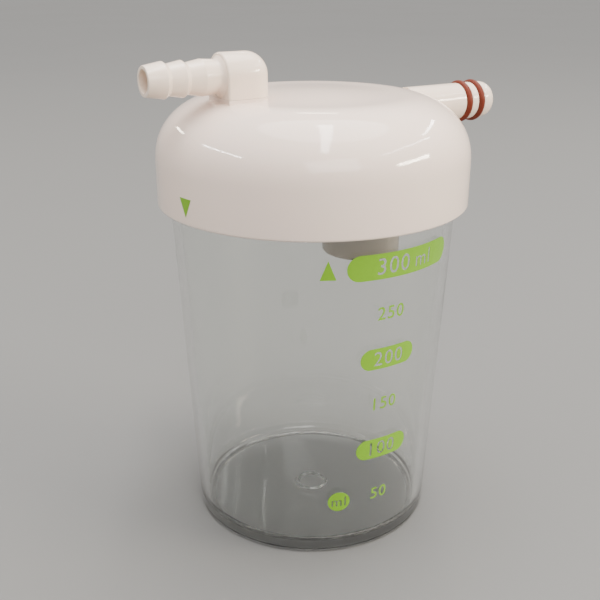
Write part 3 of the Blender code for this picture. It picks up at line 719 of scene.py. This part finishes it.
class OBJECT_OT_jar_stage(JarOperator, bpy.types.Operator):
    """Adds the pale floor, the soft lights and the camera"""

    bl_idname = "object.jar_stage"
    bl_label = "Stage"

    def execute(self, context):
        bm = bmesh.new()
        bmesh.ops.create_circle(bm, cap_ends=True, radius=FLOOR_RADIUS, segments=96)
        floor = made_object("floor", bm, (0, 0, -FLOOR_GAP))
        floor.data.materials.append(finish_named("floor", context))
        self.sun(context)
        for lamp in LAMPS:
            self.strip(context, *lamp)
        context.scene.world = self.sky()
        context.scene.camera = self.camera(context)
        return {"FINISHED"}

    @staticmethod
    def sun(context):
        """Broad soft light from almost straight above."""
        data = bpy.data.lights.new("overhead", "SUN")
        data.angle = math.radians(SUN_SPREAD)
        data.energy = SUN_POWER
        data.color = SUN_TINT
        lamp = bpy.data.objects.new("overhead", data)
        lamp.matrix_world = Vector(SUN_AIM).to_track_quat("-Z", "Y").to_matrix().to_4x4()
        context.scene.collection.objects.link(lamp)

    @staticmethod
    def strip(context, name, start, end, width, power, tint):
        """A long lamp from start to end, which faces the middle of the lid."""
        start, end = Vector(start), Vector(end)
        data = bpy.data.lights.new(name, "AREA")
        data.shape = "RECTANGLE"
        data.size = (end - start).length
        data.size_y = width
        data.energy = power
        data.color = tint
        middle = (start + end) / 2
        along = (end - start).normalized()
        back = (middle - Vector((0, 0, LID_MIDDLE))).normalized()
        back = (back - along * back.dot(along)).normalized()
        axes = Matrix((along, back.cross(along), back)).transposed().to_4x4()
        lamp = bpy.data.objects.new(name, data)
        lamp.matrix_world = Matrix.Translation(middle) @ axes
        context.scene.collection.objects.link(lamp)

    @staticmethod
    def sky():
        """Even light from all round, brighter overhead and a little brighter at the horizon."""
        graph = Graph(bpy.data.worlds.new("Studio"), "Background")
        direction = graph.add("ShaderNodeTexCoord", output="Generated")
        height = graph.add("ShaderNodeSeparateXYZ", {}, {"Vector": direction}, output=2)
        stops = [(place, shade_of(SKY_TINT, level)) for place, level in SKY_LEVELS]
        light = graph.add("ShaderNodeValToRGB", {"stops": stops}, {"Fac": height})
        return graph.finish({"Color": light, "Strength": 1.0})

    @staticmethod
    def camera(context):
        azimuth = math.radians(CAMERA_AZIMUTH)
        down = math.radians(CAMERA_DOWN)
        level = math.cos(down)
        forward = Vector((-math.sin(azimuth) * level, math.cos(azimuth) * level, -math.sin(down)))
        right = Vector((math.cos(azimuth), math.sin(azimuth), 0))
        up = right.cross(forward)
        data = bpy.data.cameras.new("camera")
        data.lens = CAMERA_LENS
        data.sensor_width = CAMERA_SENSOR
        data.clip_start = 0.01
        camera = bpy.data.objects.new("camera", data)
        frame_axes = Matrix((right, up, -forward)).transposed().to_4x4()
        camera.matrix_world = Matrix.Translation(CAMERA_PLACE) @ frame_axes
        context.scene.collection.objects.link(camera)
        return camera


class OBJECT_OT_jar_cup(JarOperator, bpy.types.Operator):
    """Adds the clear graduated cup, without its print"""

    bl_idname = "object.jar_cup"
    bl_label = "Cup"

    def execute(self, context):
        jar = self.settings(context).jar
        neck = jar.top_radius - jar.wall
        floor_radius = jar_radius(jar, jar.floor) - jar.wall
        gate, gate_top = jar.gate_radius, jar.floor + jar.gate_rise
        points = [
            (0, 0),
            (jar.base_radius, 0, jar.foot_edge),
            (jar.top_radius, jar.taper_height),
            (jar.top_radius, jar.rim_height, jar.rim_edge),
            (neck, jar.rim_height, jar.rim_edge),
            (neck, jar.taper_height),
            (floor_radius, jar.floor, jar.inner_corner),
            (gate + 0.0002, jar.floor, FINE_EDGE),
            (gate - 0.0002, gate_top, FINE_EDGE),
            (gate - 0.0007, gate_top, FINE_EDGE),
            (gate - 0.0012, jar.floor, EDGE),
            (0, jar.floor),
        ]
        cup = turned("jar_cup", rounded(points, 8), 224)
        settled(cup, "jar", "jar_clear", "jar")
        return {"FINISHED"}


# Each printed level's words and its height on the cup.
PLAIN_LEVELS = (("50", 0.0171), ("150", 0.0454), ("250", 0.0714))
LABEL_LEVELS = (("100", 0.0316), ("200", 0.0587))

# Width and height of the unit's disc and of the closing marks, and where the marks stand.
DISC_SIZE = (0.0061, 0.0060)
CUP_ARROW_SIZE, CUP_ARROW_LEVEL = (0.0041, 0.0051), 0.08425
LID_ARROW_SIZE, LID_ARROW_LEVEL = (0.0046, -0.0048), 0.0971

# How much bolder than the font the plain numbers are.
PLAIN_WEIGHT = 0.004


class OBJECT_OT_jar_print(JarOperator, bpy.types.Operator):
    """Adds the printed scale on the cup and the closing marks on the cup and on the lid"""

    bl_idname = "object.jar_print"
    bl_label = "Print"

    def execute(self, context):
        settings = self.settings(context)
        marks = settings.marks
        for words, height in PLAIN_LEVELS:
            number = flat_letters(words, marks.number_height, PRINT_DEPTH, PLAIN_WEIGHT)
            self.put(settings, words, number, marks.column, height)
        for words, height in LABEL_LEVELS:
            across = marks.label_turn * jar_radius(settings.jar, height)
            label = rounded_label(across, marks.label_height)
            cuts = [self.cutter(words, marks.label_number)]
            self.put(settings, words, label, marks.label_column, height, cuts)
        self.full_label(settings)
        disc = rounded_label(*DISC_SIZE)
        cuts = [self.cutter("ml", marks.disc_number)]
        self.put(settings, "unit", disc, marks.disc_column, marks.disc_level, cuts)
        self.put(settings, "cup_arrow", arrow(*CUP_ARROW_SIZE), marks.cup_arrow, CUP_ARROW_LEVEL)
        lid_arrow = arrow(*LID_ARROW_SIZE)
        self.put(settings, "lid_arrow", lid_arrow, marks.lid_arrow, LID_ARROW_LEVEL, body="lid")
        return {"FINISHED"}

    def full_label(self, settings):
        """The long label of the full cup, with its number and its unit."""
        marks = settings.marks
        radius = jar_radius(settings.jar, marks.full_level)
        middle = (marks.full_start + marks.full_end) / 2
        number = (marks.column - middle) * radius
        cuts = [
            self.cutter("300", marks.full_number, number),
            self.cutter("ml", marks.unit_height, number + marks.unit_offset),
        ]
        label = rounded_label((marks.full_end - marks.full_start) * radius, marks.full_height)
        self.put(settings, "300", label, middle, marks.full_level, cuts)

    @staticmethod
    def cutter(words, height, across=0.0):
        """Letters that are cut out of a label."""
        solid = made_object("letters_" + words, flat_letters(words, height, 2 * PRINT_DEPTH))
        solid.data.transform(Matrix.Translation((across, 0, 0)))
        return solid

    @staticmethod
    def put(settings, name, bm, azimuth, height, cuts=(), body="jar"):
        """Cuts the letters out of a flat print and bends it round the cup or round the lid's side."""
        flat = made_object("flat_" + name, bm)
        if cuts:
            flat = combined(flat, [("DIFFERENCE", cut) for cut in cuts])

        def radius_at(level):
            return settings.lid.radius if body == "lid" else jar_radius(settings.jar, level)

        piece = wrapped("print_" + name, flat, azimuth, height, radius_at, settings.marks.ink)
        settled(piece, body, "scale_print")


class OBJECT_OT_jar_gasket(JarOperator, bpy.types.Operator):
    """Adds the gasket between the lid's plug ring and the cup's neck"""

    bl_idname = "object.jar_gasket"
    bl_label = "Gasket"

    def execute(self, context):
        inner = self.settings(context).lid.plug_radius + FIT_GAP
        outer = GASKET_HIGH.x
        low, high = GASKET_LOW.z, GASKET_HIGH.z
        bulge = (outer - inner) / 2
        points = [
            (inner, low, FINE_EDGE),
            (outer - bulge, low, FINE_EDGE),
            (outer, low + (high - low) / 4, 0.0006),
            (outer, high - (high - low) / 4, 0.0006),
            (outer - bulge, high, FINE_EDGE),
            (inner, high, FINE_EDGE),
        ]
        ring = turned("gasket_ring", rounded(points, 4, True), 160, True)
        settled(ring, "seal", "seal_silicone", "lid_gasket")
        return {"FINISHED"}


def elbow_plan(ports, corners=80):
    """The elbow's footprint: a half circle at the back, carried forward to a flat face."""
    bm = bmesh.new()
    radius = ports.elbow_half_width
    bmesh.ops.create_circle(bm, cap_ends=True, radius=radius, segments=corners)
    for vert in [vert for vert in bm.verts if vert.co.y < -TINY]:
        side = math.copysign(radius, vert.co.x) if abs(vert.co.x) > TINY else 0.0
        vert.co = (side, -ports.elbow_reach, 0)
    bmesh.ops.remove_doubles(bm, verts=bm.verts, dist=WELD)
    return bm


RIB_COUNT = 8
RIB_STEPS = 6

# How far the outlet's boss stays inside the lid's skin.
BOSS_SUNK = 0.0007

# The gaps under the elbow's foot and round the bonded docking tube.
FOOT_GAP = 0.00005
BOND_GAP = 0.00012


class OBJECT_OT_jar_lid(JarOperator, bpy.types.Operator):
    """Adds the lid as one moulding: dome, plug ring, ribs, sockets and the elbow's pad"""

    bl_idname = "object.jar_lid"
    bl_label = "Lid"

    def execute(self, context):
        settings = self.settings(context)
        lid, ports, valve = settings.lid, settings.ports, settings.valve
        inner = dome_points(lid, lid.wall, 20, 6)
        skirt = lid.radius - lid.wall
        points = [(0, lid.top + lid.crown)] + dome_points(lid, 0.0)[:-1][::-1]
        points += [(lid.radius, lid.rim_height, lid.rim_edge), (skirt, lid.rim_height, EDGE)]
        points += inner
        shell = turned("lid_moulding", rounded(points, 5), 240)
        in_valve = (0, valve.offset, 0)
        in_inlet = (0, -ports.elbow_offset, 0)
        in_outlet = (0, 0, ports.outlet_height)
        embed = lid.top - lid.wall / 2
        pad_top = ports.elbow_foot - FOOT_GAP
        boss_low = ports.elbow_foot - ports.inlet_boss_depth
        boss = rod("outlet_boss", ports.outlet_boss, valve.offset, lid.radius, 96, in_outlet, ALONG_Y)
        limit = [(0, lid.rim_height), (lid.radius - BOSS_SUNK, lid.rim_height)]
        limit += dome_points(lid, BOSS_SUNK)
        boss = combined(boss, [("INTERSECT", turned("limit", limit, 160))])
        socket = rod("socket", valve.socket_radius, valve.socket_end, embed, 128, in_valve)
        socket_bore = valve.socket_radius - valve.socket_wall
        bore_top = lid.top - lid.wall - FIT_GAP
        valve_bore = rod("valve_bore", socket_bore, valve.socket_end - PAST, bore_top, 96, in_valve)
        inlet_radius = ports.stem_radius + FIT_GAP
        inlet_bore = rod("inlet_bore", inlet_radius, boss_low - PAST, lid.top + PAST, 96, in_inlet)
        steps = [
            ("UNION", self.plug_ring(lid)),
            ("UNION", self.ribs(lid)),
            ("UNION", socket),
            ("UNION", boss),
            ("UNION", rod("inlet_boss", ports.inlet_boss, boss_low, embed, 96, in_inlet)),
            ("UNION", self.elbow_pad(ports, embed, pad_top)),
            ("DIFFERENCE", valve_bore),
            ("DIFFERENCE", self.passage(valve, ports, in_outlet)),
            ("DIFFERENCE", inlet_bore),
        ]
        settled(combined(shell, steps), "lid", "lid_white", "lid_shell")
        return {"FINISHED"}

    @staticmethod
    def plug_ring(lid):
        """The ring inside the neck, with the two lips that hold the gasket."""
        radius, lip = lid.plug_radius, lid.lip_radius
        bore = radius - lid.plug_wall
        groove_low, groove_high = GASKET_LOW.z - FIT_GAP, GASKET_HIGH.z + FIT_GAP
        points = [
            (bore, lid.plug_end, EDGE),
            (radius, lid.plug_end, EDGE),
            (radius, groove_low - lid.lip),
            (lip, groove_low - lid.lip, EDGE),
            (lip, groove_low, FINE_EDGE),
            (radius, groove_low, CREASE),
            (radius, groove_high, CREASE),
            (lip, groove_high, FINE_EDGE),
            (lip, groove_high + lid.lip, EDGE),
            (radius, groove_high + lid.lip),
            (radius, lid_height(lid, radius, lid.wall / 2)),
            (bore, lid_height(lid, bore, lid.wall / 2)),
        ]
        return turned("plug_ring", rounded(points, 3, True), 160, True)

    @staticmethod
    def ribs(lid):
        """Upright ribs between the plug ring and the side."""
        rest = JAR_HIGH.z + FIT_GAP
        inside, outside = lid.plug_radius - lid.plug_wall / 2, lid.radius - lid.wall / 2
        plan = [(inside, rest), (outside, rest)]
        for index in range(RIB_STEPS + 1):
            radius = outside + (inside - outside) * index / RIB_STEPS
            plan.append((radius, lid_height(lid, radius, lid.wall / 2)))
        bm = bmesh.new()
        face = bm.faces.new([bm.verts.new((radius, -lid.rib / 2, height)) for radius, height in plan])
        grown = bmesh.ops.extrude_face_region(bm, geom=[face])
        bmesh.ops.translate(bm, vec=(0, lid.rib, 0), verts=verts_of(grown["geom"]))
        half_turn = Matrix.Rotation(math.pi / RIB_COUNT, 3, "Z")
        bmesh.ops.rotate(bm, matrix=half_turn, verts=bm.verts)
        first = bm.verts[:] + bm.edges[:] + bm.faces[:]
        for index in range(1, RIB_COUNT):
            copy = bmesh.ops.duplicate(bm, geom=first)["geom"]
            place = Matrix.Rotation(math.tau * index / RIB_COUNT, 3, "Z")
            bmesh.ops.rotate(bm, matrix=place, verts=verts_of(copy))
        return made_object("ribs", bm)

    @staticmethod
    def elbow_pad(ports, low, high):
        """The flat pad on the dome that the elbow's foot turns on."""
        bm = elbow_plan(ports)
        grown = bmesh.ops.extrude_face_region(bm, geom=bm.faces[:])
        bmesh.ops.translate(bm, vec=(0, 0, high - low), verts=verts_of(grown["geom"]))
        return made_object("elbow_pad", bm, (0, -ports.elbow_offset, low))

    @staticmethod
    def passage(valve, ports, place):
        """The stepped hole that the docking tube is bonded into."""
        tail = ports.outlet_tail + FIT_GAP
        step = ports.outlet_step - FIT_GAP
        wide = ports.outlet_radius + BOND_GAP
        points = [(0, valve.offset), (tail, valve.offset), (tail, step), (wide, step)]
        points += [(wide, OUTLET_HIGH.y), (0, OUTLET_HIGH.y)]
        return turned("passage", points, 96, False, place, ALONG_Y)


# Heights on the elbow's stem, from the elbow's foot.
STEM_GROOVE_TOP, STEM_GROOVE_END = -0.0055, -0.0073
STEM_BEAD_TOP, STEM_BEAD_END = -0.0136, -0.0150

# The radius of the section of the O-ring on the stem, and how far it stands out.
STEM_RING_SECTION = 0.0006
STEM_RING_STAND = 0.0002

HOUSING_STEPS = 16
BARB_COUNT = 3


class OBJECT_OT_jar_elbow(JarOperator, bpy.types.Operator):
    """Adds the barbed inlet elbow and the O-ring on its stem"""

    bl_idname = "object.jar_elbow"
    bl_label = "Elbow"

    def execute(self, context):
        ports = self.settings(context).ports
        foot = (0, -ports.elbow_offset, ports.elbow_foot)
        axis = (0, -ports.elbow_offset, ports.elbow_foot + ports.elbow_axis)
        elbow = made_object("elbow_moulding", self.housing(ports), foot)
        end = -ports.elbow_offset - ELBOW_LOW.y
        barb = turned("barb", self.barb(ports, end), 96, False, axis, ALONG_MINUS_Y)
        barb_bore = rod("barb_bore", ports.barb_bore, -FIT_GAP, end + PAST, 64, axis, ALONG_MINUS_Y)
        depth = ports.elbow_foot - ELBOW_LOW.z + PAST
        rise = ports.elbow_axis + ports.barb_bore / 2
        steps = [
            ("UNION", barb),
            ("UNION", turned("stem", self.stem(ports), 96, False, foot)),
            ("DIFFERENCE", barb_bore),
            ("DIFFERENCE", rod("stem_bore", ports.stem_bore, -depth, rise, 64, foot)),
        ]
        settled(combined(elbow, steps), "elbow", "port_cream", "elbow_connector")
        height = ports.elbow_foot + (STEM_GROOVE_TOP + STEM_GROOVE_END) / 2
        centre = ports.stem_radius + STEM_RING_STAND - STEM_RING_SECTION
        outline = circle(centre, STEM_RING_SECTION)
        ring = turned("elbow_ring", outline, 96, True, (0, -ports.elbow_offset, height))
        settled(ring, "elbow", "ring_red", "elbow_o_ring")
        return {"FINISHED"}

    @staticmethod
    def housing(ports):
        """A ball-topped half cylinder at the back, carried forward to a flat face."""
        half, axis = ports.elbow_half_width, ports.elbow_axis
        angles = [math.pi / 2 * step / HOUSING_STEPS for step in range(HOUSING_STEPS + 1)]
        side = [(half * math.sin(angle), axis + half * math.cos(angle)) for angle in angles]
        side.append((half, 0.0))
        bm = spun(side, 40, False, math.pi)
        bmesh.ops.remove_doubles(bm, verts=bm.verts, dist=TINY)
        arch = [edge for edge in bm.edges if all(abs(vert.co.y) < TINY for vert in edge.verts)]
        grown = bmesh.ops.extrude_edge_only(bm, edges=arch)
        moved = verts_of(grown["geom"])
        bmesh.ops.translate(bm, vec=(0, -ports.elbow_reach, 0), verts=moved)
        front = [edge for edge in bm.edges if all(vert in moved for vert in edge.verts)]
        front.append(bm.edges.new([vert for vert in moved if vert.co.z < TINY]))
        bmesh.ops.edgenet_fill(bm, edges=front)
        bmesh.ops.holes_fill(bm, edges=bm.edges, sides=0)
        bmesh.ops.recalc_face_normals(bm, faces=bm.faces)
        front_y = -ports.elbow_reach + TINY
        corner = [edge for edge in bm.edges if all(vert.co.y < front_y for vert in edge.verts)]
        corner = [edge for edge in corner if not all(vert.co.z < TINY for vert in edge.verts)]
        bmesh.ops.bevel(
            bm, geom=corner, offset=0.0006, offset_type="OFFSET", affect="EDGES",
            segments=5, profile=0.5, material=-1,
        )
        return bm

    @staticmethod
    def barb(ports, end):
        """The barbed tube, as radius and distance from the elbow's axis."""
        crest, neck, pitch = ports.barb_crest, ports.barb_neck, ports.barb_pitch
        face, collar = ports.elbow_reach, 0.0053
        first = end - ports.barb_tip_length - (BARB_COUNT - 1) * pitch
        points = [(0, face / 2), (collar, face / 2), (collar, face - 0.0001)]
        points.append((0.00424, face + 0.0009, 0.0012))
        for index in range(BARB_COUNT):
            place = first + index * pitch
            points.append((crest, place, EDGE))
            if index < BARB_COUNT - 1:
                points.append((neck, place + pitch - ports.barb_step, 0.0004))
        points += [(ports.barb_tip, end, 0.00016), (0, end)]
        return rounded(points, 4)

    @staticmethod
    def stem(ports):
        """The stem that turns in the lid, with its groove and its snap bead, below the foot."""
        radius, groove = ports.stem_radius, ports.stem_radius - 0.0012
        bead = radius + 0.0008
        end = ELBOW_LOW.z - ports.elbow_foot
        points = [
            (0, ports.elbow_axis / 2),
            (radius, ports.elbow_axis / 2),
            (radius, STEM_GROOVE_TOP, CREASE),
            (groove, STEM_GROOVE_TOP, CREASE),
            (groove, STEM_GROOVE_END, CREASE),
            (radius, STEM_GROOVE_END, CREASE),
            (radius, STEM_BEAD_TOP),
            (bead, STEM_BEAD_TOP, FINE_EDGE),
            (bead, STEM_BEAD_TOP - 0.0007, FINE_EDGE),
            (radius, STEM_BEAD_END, FINE_EDGE),
            (radius, end, 0.0004),
            (0, end),
        ]
        return rounded(points, 3)


def circle(centre, section, steps=20):
    """An O-ring's section, as an outline."""
    angles = [math.tau * index / steps for index in range(steps)]
    return [(centre + section * math.cos(angle), section * math.sin(angle)) for angle in angles]


# The gap between an O-ring and its groove.
RING_GAP = 0.0002


class OBJECT_OT_jar_outlet(JarOperator, bpy.types.Operator):
    """Adds the docking outlet with its two O-rings"""

    bl_idname = "object.jar_outlet"
    bl_label = "Outlet"

    def execute(self, context):
        ports = self.settings(context).ports
        place = (0, 0, ports.outlet_height)
        radius, bore, end = ports.outlet_radius, ports.outlet_bore, OUTLET_HIGH.y
        section = ports.ring_section
        rings = []
        for node in ("spigot_o_ring_inner", "spigot_o_ring_outer"):
            low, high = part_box(node)
            rings.append((node, (low.y + high.y) / 2))
        centre_radius = radius + ports.ring_stand - section
        groove = centre_radius - section - RING_GAP
        half = section + RING_GAP
        tail, step = ports.outlet_tail, ports.outlet_step
        points = [(bore, OUTLET_LOW.y, FINE_EDGE), (tail, OUTLET_LOW.y, EDGE), (tail, step), (radius, step)]
        for node, centre in rings:
            points += [(radius, centre - half, 0.00012), (groove, centre - half, 0.00012)]
            points += [(groove, centre + half, 0.00012), (radius, centre + half, 0.00012)]
        points += [(radius, end - 0.0024, 0.0010), (radius - 0.0002, end - 0.0012, 0.0012)]
        points += [(radius - 0.0008, end, EDGE), (bore, end, 0.00025)]
        tube = turned("outlet_tube", rounded(points, 4, True), 112, True, place, ALONG_Y)
        settled(tube, "lid", "port_cream", "outlet_spigot")
        for name, (node, centre) in zip(("outlet_ring_inner", "outlet_ring_outer"), rings):
            spot = (0, centre, ports.outlet_height)
            ring = turned(name, circle(centre_radius, section), 112, True, spot, ALONG_Y)
            settled(ring, "lid", "ring_red", node)
        return {"FINISHED"}


class OBJECT_OT_jar_valve(JarOperator, bpy.types.Operator):
    """Adds the valve seat, the float's cage, the float and its pad"""

    bl_idname = "object.jar_valve"
    bl_label = "Float valve"

    def execute(self, context):
        valve = self.settings(context).valve
        place = (0, valve.offset, 0)
        settled(self.seat(valve, place), "lid", "lid_white", "valve_seat")
        cage = settled(self.cage(valve, place), "lid", "port_cream", "float_cage")
        # The cage takes the darker copy of the cream finish: painted shade for the shadow under the lid.
        cage.data.materials[0] = finish_named("cage_painted_shade", context)
        settled(self.cup(valve, place), "float", "port_cream", "float")
        hole, wide = 0.0018, PAD_HIGH.x
        points = [(hole, PAD_LOW.z, FINE_EDGE), (wide, PAD_LOW.z, 0.0004)]
        points += [(wide, PAD_HIGH.z, 0.0004), (hole, PAD_HIGH.z, FINE_EDGE)]
        pad = turned("float_pad", rounded(points, 4, True), 72, True, place)
        settled(pad, "float", "seal_silicone", "float_seal")
        return {"FINISHED"}

    @staticmethod
    def seat(valve, place):
        hole, wide, face = valve.seat_hole, valve.socket_radius, valve.seat_face
        top = valve.socket_end - FIT_GAP
        plug = wide - valve.socket_wall - FIT_GAP
        lip = hole + 0.0010
        points = [
            (hole, SEAT_LOW.z, EDGE),
            (lip, SEAT_LOW.z, EDGE),
            (lip, face, FINE_EDGE),
            (wide, face, EDGE),
            (wide, top, FINE_EDGE),
            (plug, top, CREASE),
            (plug, SEAT_HIGH.z, 0.0004),
            (hole, SEAT_HIGH.z, FINE_EDGE),
        ]
        return turned("seat_plug", rounded(points, 3, True), 96, True, place)

    @staticmethod
    def cage(valve, place):
        """The basket round the float, with four windows."""
        outer, hole = valve.cage_radius, valve.cage_hole
        bore = outer - valve.cage_wall
        low, high = CAGE_LOW.z, CAGE_HIGH.z
        floor = low + valve.cage_wall
        points = [
            (hole, low, EDGE),
            (outer, low, 0.0010),
            (outer, high, EDGE),
            (bore, high, EDGE),
            (bore, floor, 0.0005),
            (hole, floor, EDGE),
        ]
        basket = turned("cage_basket", rounded(points, 5, True), 128, True, place)
        sizes = (2 * (outer + PAST), valve.window_width, valve.window_height)
        middle = low + valve.window_rise + valve.window_height / 2
        steps = []
        for name, turn_by in (("windows_one", 0.0), ("windows_two", math.pi / 2)):
            bm = bmesh.new()
            bmesh.ops.create_cube(bm, size=1)
            bmesh.ops.scale(bm, vec=sizes, verts=bm.verts)
            long = [edge for edge in bm.edges if abs(edge.verts[0].co.x - edge.verts[1].co.x) > 0.001]
            bmesh.ops.bevel(
                bm, geom=long, offset=0.0012, affect="EDGES", segments=5, profile=0.5, material=-1
            )
            bmesh.ops.rotate(bm, matrix=Matrix.Rotation(turn_by, 3, "Z"), verts=bm.verts)
            steps.append(("DIFFERENCE", made_object(name, bm, (0, valve.offset, middle))))
        return combined(basket, steps)

    @staticmethod
    def cup(valve, place):
        """The float: an inverted cup with the stud that holds its pad."""
        radius, wall = valve.float_radius, valve.float_wall
        low, top = FLOAT_LOW.z, FLOAT_LOW.z + valve.float_height
        stud, head, neck = 0.0015, 0.0024, PAD_HIGH.z + FIT_GAP
        points = [
            (0, top - wall),
            (radius - wall, top - wall, 0.0005),
            (radius - wall, low, EDGE),
            (radius, low, EDGE),
            (radius, top, 0.0006),
            (stud, top, FINE_EDGE),
            (stud, neck, CREASE),
            (head, neck, FINE_EDGE),
            (stud, FLOAT_HIGH.z, FINE_EDGE),
            (0, FLOAT_HIGH.z),
        ]
        return turned("float_cup", rounded(points, 4), 96, False, place)


OPERATORS = (
    OBJECT_OT_jar_stage,
    OBJECT_OT_jar_cup,
    OBJECT_OT_jar_print,
    OBJECT_OT_jar_gasket,
    OBJECT_OT_jar_lid,
    OBJECT_OT_jar_elbow,
    OBJECT_OT_jar_outlet,
    OBJECT_OT_jar_valve,
)


class VIEW3D_PT_suction_jar(bpy.types.Panel):
    """Lists what makes the jar"""

    bl_idname = "VIEW3D_PT_suction_jar"
    bl_label = "Suction Collection Jar"
    bl_space_type = "VIEW_3D"
    bl_region_type = "UI"
    bl_category = "Jar"

    def draw(self, context):
        for operator in OPERATORS:
            self.layout.operator(operator.bl_idname)


CLASSES = (
    JarSizes, LidSizes, PortSizes, ValveSizes, PrintSizes, Colours, JarSettings,
    *OPERATORS, VIEW3D_PT_suction_jar,
)


def register():
    for item in CLASSES:
        bpy.utils.register_class(item)
    bpy.types.Scene.suction_jar = bpy.props.PointerProperty(type=JarSettings)


def unregister():
    del bpy.types.Scene.suction_jar
    for item in reversed(CLASSES):
        bpy.utils.unregister_class(item)


def main():
    register()
    bpy.ops.object.jar_stage()
    bpy.ops.object.jar_cup()
    bpy.ops.object.jar_print()
    bpy.ops.object.jar_gasket()
    bpy.ops.object.jar_lid()
    bpy.ops.object.jar_elbow()
    bpy.ops.object.jar_outlet()
    bpy.ops.object.jar_valve()
    bpy.context.view_layer.update()


if __name__ == "__main__":
    main()
